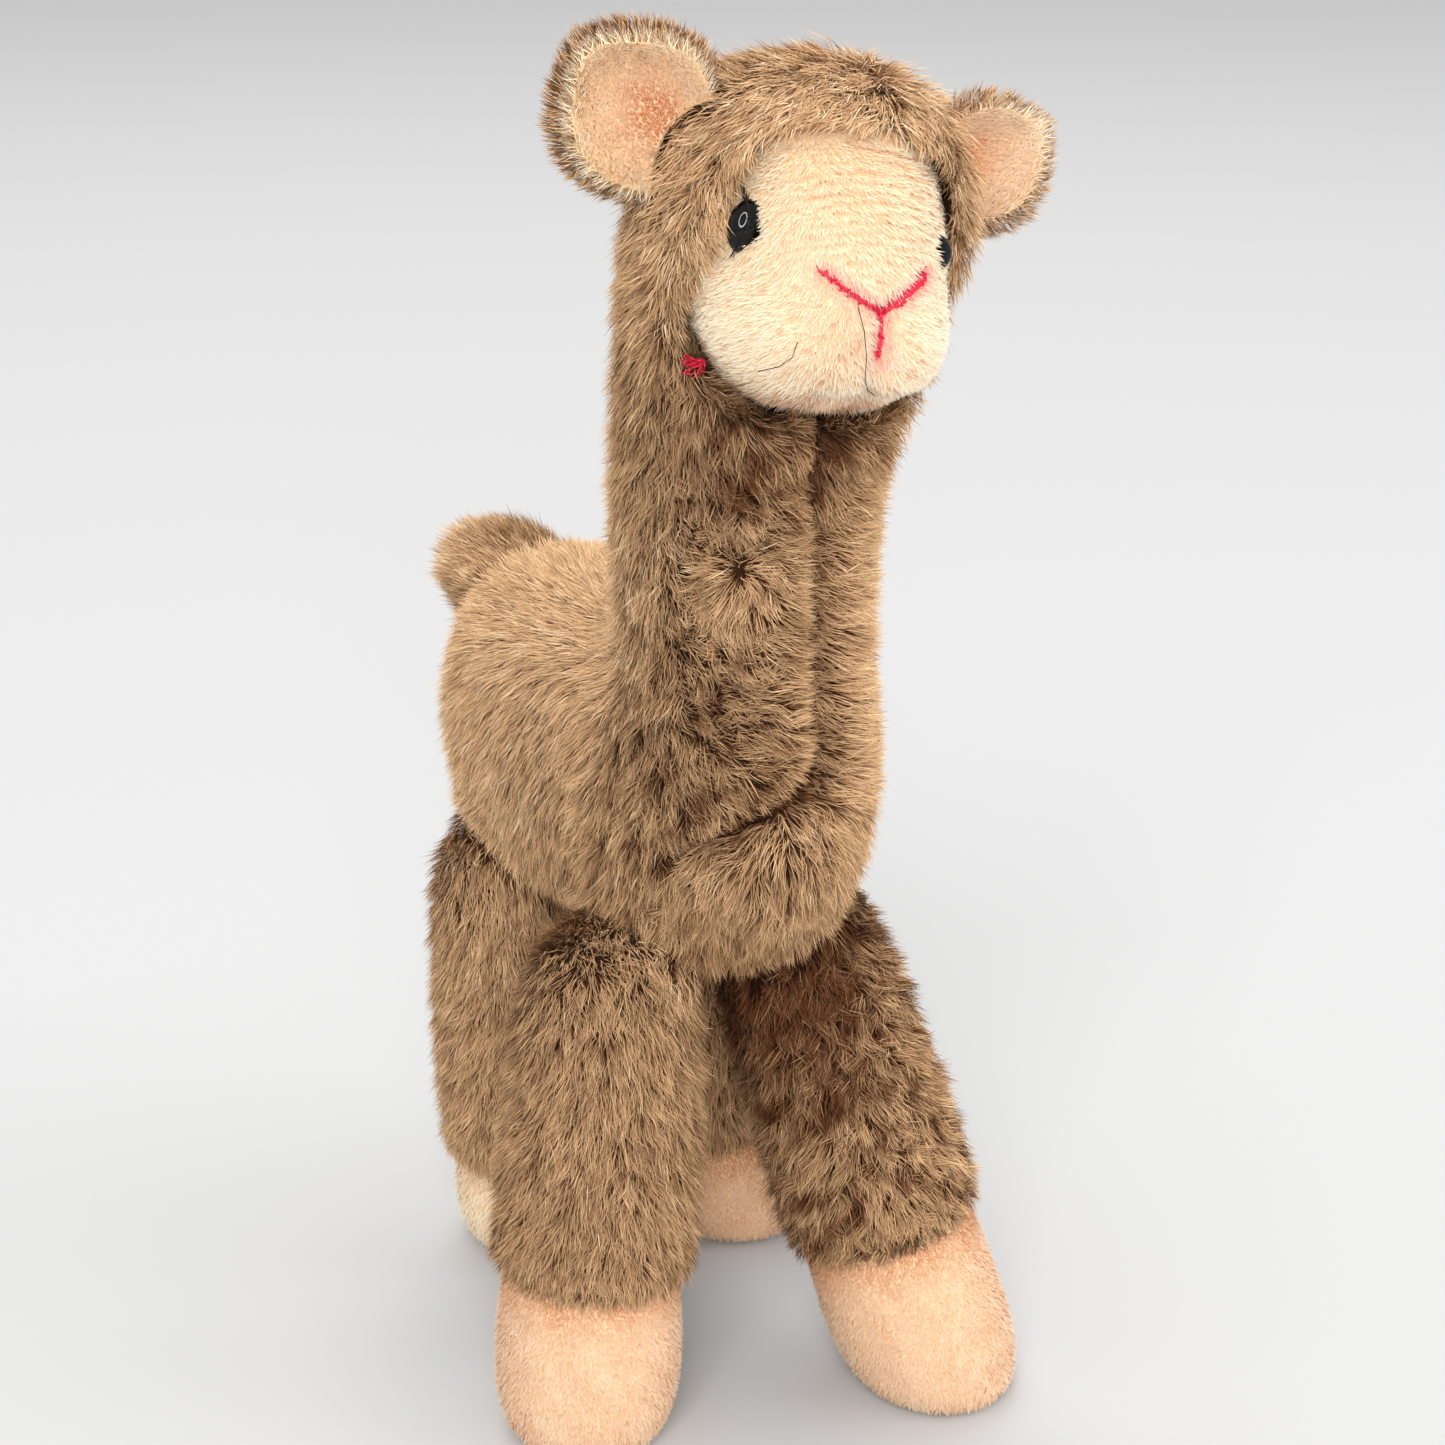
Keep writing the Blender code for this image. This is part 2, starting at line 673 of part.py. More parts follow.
def thread_run(name, points, radius, group):
    # One stitched line as a round cord with closed ends, turned into a mesh
    curve = bpy.data.curves.new(name, "CURVE")
    curve.dimensions = "3D"
    curve.bevel_depth = radius
    curve.bevel_resolution = 1
    curve.use_fill_caps = True
    spline = curve.splines.new("POLY")
    spline.points.add(len(points) - 1)
    for target, point in zip(spline.points, points):
        target.co = (*point, 1.0)
    cord = bpy.data.objects.new(name, curve)
    group.objects.link(cord)
    bpy.context.view_layer.update()
    graph = bpy.context.evaluated_depsgraph_get()
    mesh = bpy.data.meshes.new_from_object(cord.evaluated_get(graph))
    bpy.data.objects.remove(cord, do_unlink=True)
    shape = bmesh.new()
    shape.from_mesh(mesh)
    bmesh.ops.remove_doubles(shape, verts=shape.verts, dist=0.00001)
    bmesh.ops.recalc_face_normals(shape, faces=shape.faces)
    shape.to_mesh(mesh)
    shape.free()
    return mesh


def make_stitch(name, runs, radius, material, groups, parent):
    # Crossing lines of thread, joined into one piece
    parts, cutters = groups
    meshes = [thread_run(name + "_run", run, radius, cutters) for run in runs]
    stitch = add_part(name, meshes[0], material, parts, parent)
    stitch.matrix_basis = head_frame()
    for mesh in meshes[1:]:
        run = bpy.data.objects.new(name + "_crossing", mesh)
        run.parent = parent
        run.matrix_basis = head_frame()
        cutters.objects.link(run)
        hide_cutter(run)
        join = stitch.modifiers.new("join", "BOOLEAN")
        join.operation = "UNION"
        join.solver = "EXACT"
        join.object = run
    return stitch


def centre_on_footprint(root, parts):
    # Put the origin on the floor under the middle of the part's own box
    graph = bpy.context.evaluated_depsgraph_get()
    low = [math.inf] * 2
    high = [-math.inf] * 2
    for part in parts.objects:
        shape = part.evaluated_get(graph)
        mesh = shape.to_mesh()
        for vertex in mesh.vertices:
            place = shape.matrix_world @ vertex.co
            for axis in range(2):
                low[axis] = min(low[axis], place[axis])
                high[axis] = max(high[axis], place[axis])
        shape.to_mesh_clear()
    root.location = (-(low[0] + high[0]) / 2, -(low[1] + high[1]) / 2, 0.0)


def main():
    clear_scene()
    parts = new_collection("plush_llama")
    cutters = new_collection("cutters")
    groups = (parts, cutters)
    root = bpy.data.objects.new("llama_stand", None)
    bpy.context.scene.collection.objects.link(root)
    materials = {
        "brown": make_material("brown_plush", BROWN, 0.95),
        "cream": make_material("cream_velour", CREAM, 0.9),
        "black": make_material("eye_plastic", BLACK, 0.12),
        "clear": make_material("washer_plastic", CLEAR_PLASTIC, 0.4),
        "pink": make_material("pink_thread", PINK, 0.6),
    }
    body = make_body(materials["brown"], parts, root)
    face = make_face(materials["cream"], parts, root)
    bpy.context.view_layer.update()
    face_surface = surface_of(face)
    body_surface = surface_of(body)
    body_seat = inflated_copy(body, cutters, root)
    face_seat = inflated_copy(face, cutters, root)
    cut(body, make_patch_cutter(cutters, root))
    cut(body, face_seat)
    for side, label in ((-1, "right"), (1, "left")):
        make_eye(side, label, eye_frame(face_surface, side), face, materials, groups, root)
        make_ear(side, label, body_seat, materials, groups, root)
    floor = make_floor_cutter(cutters, root)
    for label in LEGS:
        make_leg(label, body_seat, floor, materials, groups, root)
    make_tail(body_seat, materials["brown"], groups, root)
    make_stitch("nose_stitch", nose_points(face_surface), NOSE_THREAD, materials["pink"], groups, root)
    make_stitch("cheek_stitch", tuft_points(body_surface), TUFT_THREAD, materials["pink"], groups, root)
    bpy.context.view_layer.update()
    centre_on_footprint(root, parts)


main()
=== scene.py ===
import json
import math
import bpy
import numpy as np
from mathutils import Matrix, Vector
from mathutils.bvhtree import BVHTree
from mathutils.kdtree import KDTree

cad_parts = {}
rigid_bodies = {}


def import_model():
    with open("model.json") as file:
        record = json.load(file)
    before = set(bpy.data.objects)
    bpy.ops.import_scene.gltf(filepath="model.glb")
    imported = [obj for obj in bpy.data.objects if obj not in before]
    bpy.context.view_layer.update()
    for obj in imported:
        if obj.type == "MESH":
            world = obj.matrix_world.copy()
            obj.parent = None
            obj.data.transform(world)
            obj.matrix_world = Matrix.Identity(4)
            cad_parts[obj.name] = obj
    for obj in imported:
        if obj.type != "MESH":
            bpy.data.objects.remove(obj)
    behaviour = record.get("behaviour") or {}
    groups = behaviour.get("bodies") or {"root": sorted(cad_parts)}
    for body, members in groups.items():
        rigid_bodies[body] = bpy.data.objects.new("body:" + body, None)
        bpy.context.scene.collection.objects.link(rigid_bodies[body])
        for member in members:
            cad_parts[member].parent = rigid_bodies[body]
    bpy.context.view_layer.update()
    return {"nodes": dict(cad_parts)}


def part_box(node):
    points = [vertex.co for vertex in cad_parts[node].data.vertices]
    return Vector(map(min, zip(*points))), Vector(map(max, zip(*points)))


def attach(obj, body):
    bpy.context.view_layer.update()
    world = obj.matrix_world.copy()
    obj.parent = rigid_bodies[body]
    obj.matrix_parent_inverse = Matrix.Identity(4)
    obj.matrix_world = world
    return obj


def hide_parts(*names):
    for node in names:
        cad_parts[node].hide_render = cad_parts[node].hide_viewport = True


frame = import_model()
nodes = frame["nodes"]
print("frame loaded, nodes:", len(nodes))


def row(*values):
    return np.array(values)


def columns(*parts):
    # one row for each point; a plain number stands for all of them
    return np.stack(np.broadcast_arrays(*parts), axis=1)


# Lengths below are in millimetres. The pattern's origin is on the floor, between the
# flanks and in line with the front of the shoulders
mm = 0.001
pattern = {"bodyLeft": -34.48, "bodyFront": -26.88}
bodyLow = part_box("body")[0]
patternOrigin = row(bodyLow.x / mm - pattern["bodyLeft"], bodyLow.y / mm - pattern["bodyFront"], 0.0)


def unit(rows):
    return rows / np.maximum(np.linalg.norm(rows, axis=-1, keepdims=True), 1e-9)


def flatten(rows, normals):
    # the part of each direction that lies in the cloth
    return unit(rows - normals * (rows * normals).sum(axis=1)[:, None])


def ease(value, low, high):
    share = np.clip((value - low) / (high - low), 0.0, 1.0)
    return share * share * (3.0 - 2.0 * share)


def band(value, low, full, fade, high):
    # 1 from full to fade, and 0 below low and above high
    return ease(value, low, full) * (1 - ease(value, fade, high))


def bell(value, reach):
    return np.exp(-(value / reach) ** 2)


def mix(first, second, share):
    return first * (1 - share[:, None]) + second * share[:, None]


def ripple(points, size, seed):
    # smooth, shapeless waves of about that size, from -1 to 1
    rng = np.random.default_rng(seed)
    total = np.zeros(len(points))
    for _ in range(9):
        way = unit(rng.normal(size=3))
        pace = 2 * math.pi / (size * rng.uniform(0.7, 1.6))
        total += np.sin(points @ way * pace + rng.uniform(0, 6.28))
    return np.clip(total / 4.0, -1.0, 1.0)


def turns(*steps):
    # one rotation from (degrees, axis) steps
    total = Matrix.Identity(3)
    for degrees, axis in steps:
        total = total @ Matrix.Rotation(math.radians(degrees), 3, axis)
    return np.array(total)


head = {"centre": row(7.0, 2.5, 269.0), "turn": -10.0, "tilt": 8.0}
headSpin = turns((head["turn"], "Z"), (head["tilt"], "Y"))
headCentre = head["centre"] + patternOrigin


def toHead(points):
    return (points - headCentre) @ headSpin


def fromHead(points):
    return points @ headSpin.T + headCentre


# Meshes in and out

def meshArrays(mesh):
    mesh.calc_loop_triangles()
    places = np.empty(len(mesh.vertices) * 3)
    mesh.vertices.foreach_get("co", places)
    normals = np.empty(len(mesh.vertices) * 3)
    mesh.vertices.foreach_get("normal", normals)
    corners = np.empty(len(mesh.loop_triangles) * 3, dtype=np.int64)
    mesh.loop_triangles.foreach_get("vertices", corners)
    return places.reshape(-1, 3) / mm, normals.reshape(-1, 3), corners.reshape(-1, 3)


def treeOf(meshes):
    points, faces, start = [], [], 0
    for mesh in meshes:
        places, _, corners = meshArrays(mesh)
        points.append(places)
        faces.append(corners + start)
        start += len(places)
    return BVHTree.FromPolygons(np.concatenate(points).tolist(), np.concatenate(faces).tolist())


farthest = 30.0


def nearestOn(points, nodeNames):
    # distance to the nearest of those pieces, and the way to it
    away = np.full(len(points), farthest)
    way = np.zeros((len(points), 3))
    tree = treeOf([nodes[name].data for name in nodeNames])
    for i, point in enumerate(points.tolist()):
        place, _, _, distance = tree.find_nearest(point, farthest)
        if distance is not None:
            away[i] = distance
            way[i] = np.array(place) - point
    return away, unit(way)


def addObject(name, data):
    obj = bpy.data.objects.new(name, data)
    bpy.context.scene.collection.objects.link(obj)
    return obj


def addPiece(obj, replaced=()):
    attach(obj, "root")
    if replaced:
        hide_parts(*replaced)
    return obj


# Where a cloth meets its neighbours: how near, how squarely they face it, and its depth there
joint = {"bare": (0.7, 1.3), "facing": (0.25, 0.6), "start": 0.8, "depth": 0.15}


def makeSkin(name, nodeName, material, look, neighbours, sculpt=None):
    # the backing cloth: the solid's form in a fine even mesh, drawn in by the depth of the pile
    obj = addObject(name, nodes[nodeName].data.copy())
    even = obj.modifiers.new("even", "REMESH")
    even.mode = "VOXEL"
    even.voxel_size = look["voxel"] * mm
    soften = obj.modifiers.new("soften", "SMOOTH")
    soften.factor = 0.5
    soften.iterations = look["rounds"]
    bpy.context.view_layer.update()
    mesh = bpy.data.meshes.new_from_object(obj.evaluated_get(bpy.context.evaluated_depsgraph_get()))
    obj.modifiers.clear()
    obj.data = mesh
    places, normals, _ = meshArrays(mesh)
    away, way = nearestOn(places, neighbours)
    facing = (normals * way).sum(axis=1)
    openCloth = np.maximum(ease(away, *joint["bare"]), 1 - ease(facing, *joint["facing"]))
    drawn = joint["depth"] + (1 - joint["depth"]) * ease(away, joint["start"], look["hold"])
    drawn = look["depth"] * drawn
    places = places - normals * drawn[:, None]
    if sculpt is not None:
        places = sculpt(places, normals)
    mesh.vertices.foreach_set("co", (places * mm).ravel())
    mesh.update()
    mesh.materials.clear()
    mesh.materials.append(material)
    mesh.shade_smooth()
    addPiece(obj, [nodeName])
    return obj, openCloth


def scatter(mesh, perSquare, seed, weight):
    # roots spread evenly over the cloth; weight, one for each vertex, thins them out
    places, normals, corners = meshArrays(mesh)
    rng = np.random.default_rng(seed)
    a, b, c = (places[corners[:, i]] for i in range(3))
    area = np.linalg.norm(np.cross(b - a, c - a), axis=1) / 2 * weight[corners].mean(axis=1)
    total = np.cumsum(area)
    count = int(total[-1] * perSquare)
    picked = np.searchsorted(total, (np.arange(count) + rng.random(count)) / count * total[-1])
    picked = np.minimum(picked, len(corners) - 1)
    u, v = rng.random(count), rng.random(count)
    flip = u + v > 1
    u[flip], v[flip] = 1 - u[flip], 1 - v[flip]
    shares = columns(1 - u - v, u, v)[:, :, None]
    roots = (places[corners[picked]] * shares).sum(axis=1)
    return roots, unit((normals[corners[picked]] * shares).sum(axis=1))


floorGap = 0.05


def strandMesh(name, points, triangles, facing, uv, material):
    mesh = bpy.data.meshes.new(name)
    points[:, 2] = np.maximum(points[:, 2], floorGap)
    loops = triangles.ravel().astype(np.int32)
    mesh.vertices.add(len(points))
    mesh.vertices.foreach_set("co", (points * mm).astype(np.float32).ravel())
    mesh.loops.add(len(loops))
    mesh.loops.foreach_set("vertex_index", loops)
    mesh.polygons.add(len(triangles))
    mesh.polygons.foreach_set("loop_start", np.arange(0, len(loops), 3, dtype=np.int32))
    mesh.update(calc_edges=True)
    layer = mesh.uv_layers.new(name="OFBake")
    layer.uv.foreach_set("vector", uv[loops].astype(np.float32).ravel())
    mesh.shade_smooth()
    mesh.normals_split_custom_set_from_vertices(facing.astype(np.float32))
    mesh.materials.append(material)
    return addObject(name, mesh)


def headings(normals, lay, swing):
    across = np.cross(normals, lay)
    return unit(lay * np.cos(swing)[:, None] + across * np.sin(swing)[:, None])


def leaning(normals, heading, lean):
    return normals * np.cos(lean)[:, None] + heading * np.sin(lean)[:, None]


def bladeSides(normals, along, width, twist):
    side = unit(np.cross(normals, along))
    side = unit(side * np.cos(twist)[:, None] + np.cross(along, side) * np.sin(twist)[:, None])
    return side * width[:, None] / 2, unit(np.cross(-side, along))


# How a strand bends from root to tip, and how its middle and tip follow the tuft's leader
bend = {"middle": 0.62, "tip": 1.22}
follow = {"spread": 0.25, "middleSpread": 0.85, "middleTurn": 0.4, "middlePull": 0.45, "most": 0.92}
toneLift = 0.05


def growPile(name, roots, normals, lay, look, traits, seed):
    # long pile: a bent, leaf-shaped blade of two faces for each strand, drawn together into tufts
    rng = np.random.default_rng(seed)
    count = len(roots)
    tone, ruffle = traits["tone"], traits["ruffle"]
    leadCount = max(4, int(count * look["leads"]))
    leads = rng.choice(count, leadCount, replace=False)
    tree = KDTree(leadCount)
    for i, place in enumerate(roots[leads].tolist()):
        tree.insert(place, i)
    tree.balance()
    mine = leads[np.array([tree.find(place)[1] for place in roots.tolist()])]
    swing = rng.normal(0, look["stray"], count) * (0.5 + ruffle)
    swing += rng.normal(0, look["tuftSwing"], count)[mine] * ruffle
    swing += rng.normal(0, 1.0, count) * traits.get("stir", 0.0)
    swing += look["wave"] * ripple(roots, 9.0, seed + 2) * ruffle
    heading = headings(normals, lay, swing)
    lean = np.radians(look["lean"]) * traits.get("lean", 1.0)
    lean = lean + rng.normal(0, 0.18, count) * (0.6 + ruffle)
    lean = lean + look["wave"] * ripple(roots, 6.0, seed + 3) * ruffle
    length = look["length"] * (1 + rng.normal(0, 0.13, count)) * traits["length"]
    middle = roots + leaning(normals, heading, lean * bend["middle"]) * (length * 0.5)[:, None]
    tip = middle + leaning(normals, heading, lean * bend["tip"]) * (length * 0.5)[:, None]
    pull = look["pull"] * (0.25 + 0.85 * ruffle) + rng.normal(0, 0.12, count)
    pull = np.clip(pull, 0, follow["most"])
    offset = roots - roots[mine]
    turned = rng.normal(0, 1.0, (count, 3))[mine] * (look["tuftTurn"] * ruffle * traits["length"])[:, None]
    tip = tip + (tip[mine] + offset * follow["spread"] + turned - tip) * pull[:, None]
    lead = middle[mine] + offset * follow["middleSpread"] + turned * follow["middleTurn"]
    middle = middle + (lead - middle) * (pull * follow["middlePull"])[:, None]
    shade = tone + rng.normal(0, look["tuftTone"], count)[mine] + rng.normal(0, look["strandTone"], count)
    shade = np.clip(shade + toneLift, 0.02, 0.95)
    along = unit(tip - roots)
    width = look["width"] * (1 + rng.normal(0, 0.15, count))
    side, blade = bladeSides(normals, along, width, rng.normal(0, 0.45, count))
    points = columns(roots, middle - side, middle + side, tip)
    facing = np.repeat(unit(normals * (1 - look["own"]) + blade * look["own"]), 4, axis=0)
    starts = (np.arange(count) * 4)[:, None]
    triangles = np.concatenate((starts + row(0, 1, 2), starts + row(2, 1, 3)), axis=1).reshape(-1, 3)
    uv = np.empty((count, 4, 2))
    uv[:, :, 0] = shade[:, None] + row(0.0, -0.004, 0.004, 0.0)
    uv[:, :, 1] = row(look.get("low", 0.02), 0.55, 0.55, 0.98)
    strands = strandMesh(name, points.reshape(-1, 3), triangles, facing, uv.reshape(-1, 2), plushPile)
    addPiece(strands)


def growVelour(name, roots, normals, lay, look, tone, seed, lengthShare):
    # short cut pile: a single pointed blade for each lock of fibres
    rng = np.random.default_rng(seed)
    count = len(roots)
    heading = headings(normals, lay, rng.normal(0, look["stray"], count))
    lean = np.radians(look["lean"]) + rng.normal(0, 0.16, count)
    length = look["length"] * (1 + rng.normal(0, 0.16, count)) * lengthShare
    along = leaning(normals, heading, lean)
    width = look["width"] * (1 + rng.normal(0, 0.15, count))
    side, blade = bladeSides(normals, along, width, rng.normal(0, 0.5, count))
    points = columns(roots + side, roots - side, roots + along * length[:, None])
    facing = np.repeat(unit(normals * (1 - look["own"]) + blade * look["own"]), 3, axis=0)
    triangles = np.arange(count * 3).reshape(-1, 3)
    stray = rng.normal(0, look["strandTone"], count)
    shade = np.where(tone < 0.9, np.clip(tone + stray, 0.02, 0.89), np.clip(tone, 0.9, 0.99))
    uv = np.empty((count, 3, 2))
    uv[:, :, 0] = shade[:, None] + row(0.004, -0.004, 0.0)
    uv[:, :, 1] = row(0.02, 0.02, 0.98)
    strands = strandMesh(name, points.reshape(-1, 3), triangles, facing, uv.reshape(-1, 2), velourPile)
    addPiece(strands)


# Materials

def setInputs(node, values):
    # a socket is linked, and any other value is set
    for title, value in values.items():
        if isinstance(value, bpy.types.NodeSocket):
            node.id_data.links.new(value, node.inputs[title])
        else:
            node.inputs[title].default_value = value


def mixColours(tree, factor, first, second):
    blend = tree.nodes.new("ShaderNodeMix")
    blend.data_type = "RGBA"
    setInputs(blend, {0: factor, 6: first, 7: second})
    return blend.outputs[2]


def rangeOf(tree, value, low, high, toLow=0.0, toHigh=1.0):
    ramp = tree.nodes.new("ShaderNodeMapRange")
    ramp.interpolation_type = "SMOOTHSTEP"
    setInputs(ramp, {"Value": value, "From Min": low, "From Max": high, "To Min": toLow, "To Max": toHigh})
    return ramp.outputs["Result"]


def colour(red, green, blue):
    # a colour as a screen shows it, 0 to 255
    screen = (red, green, blue)
    return (*(((v / 255 + 0.055) / 1.055) ** 2.4 if v > 10 else v / 255 / 12.92 for v in screen), 1.0)


def makeStrandGroup():
    # Tone picks the dye, with painted shade and painted light added to it in places, and Height runs from the
    # backing to the tip; the last tones are a blush
    tree = bpy.data.node_groups.new("strandColour", "ShaderNodeTree")
    for title in ("Tone", "Height"):
        tree.interface.new_socket(title, in_out="INPUT", socket_type="NodeSocketFloat")
    for title in ("Root Dark", "Root Light", "Tip Dark", "Tip Light", "Blush"):
        tree.interface.new_socket(title, in_out="INPUT", socket_type="NodeSocketColor")
    tree.interface.new_socket("Colour", in_out="OUTPUT", socket_type="NodeSocketColor")
    given = tree.nodes.new("NodeGroupInput").outputs
    out = tree.nodes.new("NodeGroupOutput")
    root = mixColours(tree, given["Tone"], given["Root Dark"], given["Root Light"])
    tip = mixColours(tree, given["Tone"], given["Tip Dark"], given["Tip Light"])
    strand = mixColours(tree, rangeOf(tree, given["Height"], 0.12, 1.0), root, tip)
    dyed = rangeOf(tree, given["Tone"], 0.9, 1.0)
    setInputs(out, {"Colour": mixColours(tree, dyed, strand, given["Blush"])})
    return tree


strandColour = makeStrandGroup()


def newMaterial(name, values):
    material = bpy.data.materials.new(name)
    material.use_nodes = True
    shader = material.node_tree.nodes["Principled BSDF"]
    setInputs(shader, values)
    return material, material.node_tree, shader


def grainOf(tree, scale, detail):
    where = tree.nodes.new("ShaderNodeTexCoord")
    noise = tree.nodes.new("ShaderNodeTexNoise")
    setInputs(noise, {"Scale": scale, "Detail": detail, "Vector": where.outputs["Object"]})
    return noise.outputs["Fac"]


def pileMaterial(name, surface, colours):
    material, tree, shader = newMaterial(name, surface)
    where = tree.nodes.new("ShaderNodeUVMap")
    where.uv_map = "OFBake"
    split = tree.nodes.new("ShaderNodeSeparateXYZ")
    setInputs(split, {"Vector": where.outputs["UV"]})
    strand = tree.nodes.new("ShaderNodeGroup")
    strand.node_tree = strandColour
    setInputs(strand, dict(colours, Tone=split.outputs["X"], Height=split.outputs["Y"]))
    setInputs(shader, {"Base Color": strand.outputs["Colour"]})
    return material


def backingMaterial(name, deep, pale, grain):
    # the knitted backing, which shows only between the strands
    material, tree, shader = newMaterial(name, {"Roughness": 0.95, "Specular IOR Level": 0.1})
    knit = grainOf(tree, grain, 4.0)
    bump = tree.nodes.new("ShaderNodeBump")
    setInputs(bump, {"Strength": 0.4, "Distance": 0.0004, "Height": knit})
    setInputs(shader, {"Base Color": mixColours(tree, knit, deep, pale), "Normal": bump.outputs["Normal"]})
    return material


plushPile = pileMaterial("plushPile", {
    "Roughness": 0.7, "Specular IOR Level": 0.05, "Sheen Weight": 0.06, "Sheen Roughness": 0.5,
    "Sheen Tint": colour(240, 205, 165),
}, {
    "Root Dark": colour(22, 9, 4), "Root Light": colour(132, 76, 36), "Tip Dark": colour(104, 58, 30),
    "Tip Light": colour(255, 212, 160), "Blush": colour(255, 232, 198),
})
velourPile = pileMaterial("velourPile", {
    "Roughness": 0.8, "Specular IOR Level": 0.06, "Sheen Weight": 0.15, "Sheen Roughness": 0.5,
    "Sheen Tint": colour(255, 244, 228),
}, {
    "Root Dark": colour(190, 110, 62), "Root Light": colour(252, 234, 196), "Tip Dark": colour(232, 162, 112),
    "Tip Light": colour(255, 253, 234), "Blush": colour(240, 70, 105),
})
plushBacking = backingMaterial("plushBacking", colour(30, 15, 7), colour(72, 44, 24), 900.0)
earBacking = backingMaterial("earBacking", colour(96, 62, 40), colour(150, 106, 72), 900.0)
velourBacking = backingMaterial("velourBacking", colour(232, 182, 132), colour(251, 224, 184), 1400.0)
print("materials made")

# The trunk, neck and hood

plush = {"length": 7.8, "lean": 52.0, "width": 0.225, "stray": 0.36, "wave": 0.26, "leads": 0.06,
         "pull": 0.48, "tuftTurn": 0.7, "tuftSwing": 0.42, "tuftTone": 0.08, "strandTone": 0.16, "own": 0.35,
         "perSquare": 3.7}

neck = {"front": -21.0, "width": 55.0, "depth": 65.0, "withers": 188.0, "headTop": 269.0, "headWidth": 73.0,
        "headDepth": 66.0, "lean": 7.0, "forward": 9.0, "seamAtChest": 3.5, "seamAtChin": -14.0}
chest = {"fillet": 6.0, "belly": 100.0, "torsoWidth": 71.0, "width": 52.0, "fullness": 0.19}


def seamPath():
    # down the front of the neck and under the chest, as the pattern has it
    points = []
    pivot = row(0.0, neck["front"] + neck["depth"] + chest["fillet"], neck["withers"])
    for step in np.linspace(0.2, 1.0, 12):
        angle = math.pi / 2 * step
        share = math.sin(angle) ** 2
        front = row(0.0, -math.sin(angle), -math.cos(angle))
        corner = 1 + chest["fullness"] * math.sin(2 * angle) ** 2
        outer = (neck["withers"] - chest["belly"]) * (1 - share) + (neck["depth"] + chest["fillet"]) * share
        outer = outer * corner
        half = (chest["torsoWidth"] + (chest["width"] - chest["torsoWidth"]) * share) / 2
        twist = math.radians(neck["seamAtChest"]) * share
        side = row(half * math.sin(twist), 0.0, 0.0)
        points.append(pivot + front * outer * math.cos(twist) ** 0.5 + side)
    for step in np.linspace(0.06, 0.9, 14):
        blend = max(0.0, (step - 0.25) / 0.75) ** 1.3
        half = (neck["width"] + (neck["headWidth"] - neck["width"]) * blend) / 2
        deep = (neck["depth"] + (neck["headDepth"] - neck["depth"]) * blend) / 2
        twist = math.radians(neck["seamAtChest"] + (neck["seamAtChin"] - neck["seamAtChest"]) * blend)
        spoke = row(half * math.sin(twist), -deep * math.cos(twist), 0.0)
        spoke = turns((head["turn"] * blend, "Z")) @ spoke
        middle = row(neck["lean"] * blend, neck["front"] + neck["depth"] / 2 - neck["forward"] * blend,
                           neck["withers"] + (neck["headTop"] - neck["withers"]) * step)
        points.append(middle + spoke)
    return np.array(points) + patternOrigin


seamPoints = seamPath()
# the groove along the neck seam, and the painted shade beside it
seam = {"heights": (150.0, 156.0, 246.0, 252.0), "groove": 2.8, "grooveReach": 2.0, "shade": (0.15, 0.42),
        "shadeReach": 2.6, "bare": 0.8}


def seamSide(points):
    # distance from the seam along the cloth, negative on the llama's right
    height = points[:, 2]
    order = np.argsort(seamPoints[:, 2])
    across = points[:, 0] - np.interp(height, seamPoints[order, 2], seamPoints[order, 0])
    depth = points[:, 1] - np.interp(height, seamPoints[order, 2], seamPoints[order, 1])
    ends = band(height, *seam["heights"])
    return across, np.hypot(across, np.maximum(depth - 8.0, 0.0)) + 12.0 * (1 - ends)


# Patches seen on the real toy: place in the pattern, reach, tone, ruffle
plushPatches = np.array((
    (-14, -16, 203, 10, 0.60, 0.9), (-13, -17, 228, 14, 0.10, 1.0), (-27, 8, 200, 14, 0.76, 0.5),
    (-17, -13, 182, 13, 0.38, 1.0), (12, -18, 195, 14, 0.66, 0.2), (12, -18, 160, 14, 0.64, 0.2),
    (-14, -15, 163, 13, 0.44, 1.0), (-28, 8, 143, 14, 0.42, 0.9), (-5, -19, 138, 11, 0.46, 0.7),
    (-23, 64, 176, 26, 0.7, 0.3), (-30, 90, 150, 22, 0.68, 0.3), (-34, 50, 148, 18, 0.72, 0.45),
    (-32, 40, 114, 14, 0.42, 0.8), (2, -12, 300, 18, 0.64, 0.5), (20, -22, 290, 12, 0.68, 0.35),
    (-22, -11, 280, 13, 0.62, 0.6), (-26, 0, 254, 12, 0.56, 0.6), (0, 34, 262, 26, 0.66, 0.4),
    (0, 20, 105, 16, 0.2, 0.8),
))


def plushTraits(points, tone, ruffle, own=0.2):
    # tone and ruffle at each root, from the patches near it
    centres = plushPatches[:, :3] + patternOrigin
    squared = ((points[:, None] - centres[None]) ** 2).sum(-1)
    near = np.exp(-squared / (2 * plushPatches[:, 3] ** 2))
    total = near.sum(axis=1) + own
    tone = (near @ plushPatches[:, 4] + own * tone) / total
    ruffle = (near @ plushPatches[:, 5] + own * ruffle) / total
    # darker patches where the pile is ruffled: painted shade, as in the gaps between tufts
    gaps = ease(ripple(points, 6.5, 31), 0.1, 0.7) * ease(ruffle, 0.45, 0.95)
    return {"tone": tone - 0.5 * gaps, "ruffle": ruffle, "length": np.ones(len(points))}


whorl = {"centre": row(-14.0, -15.6, 203.0), "reach": 11.0, "denser": 2.6, "stir": 1.2}
bib = {"centre": row(-4.0, -20.0, 139.0), "wide": 15.0, "high": 16.0, "swell": 5.0, "peak": (-3.4, 155.0),
       "slopes": (0.88, -0.35), "left": (-22.0, -17.0), "front": 12.0, "fold": 4.2,
       "shade": 0.75, "shorter": 0.68}


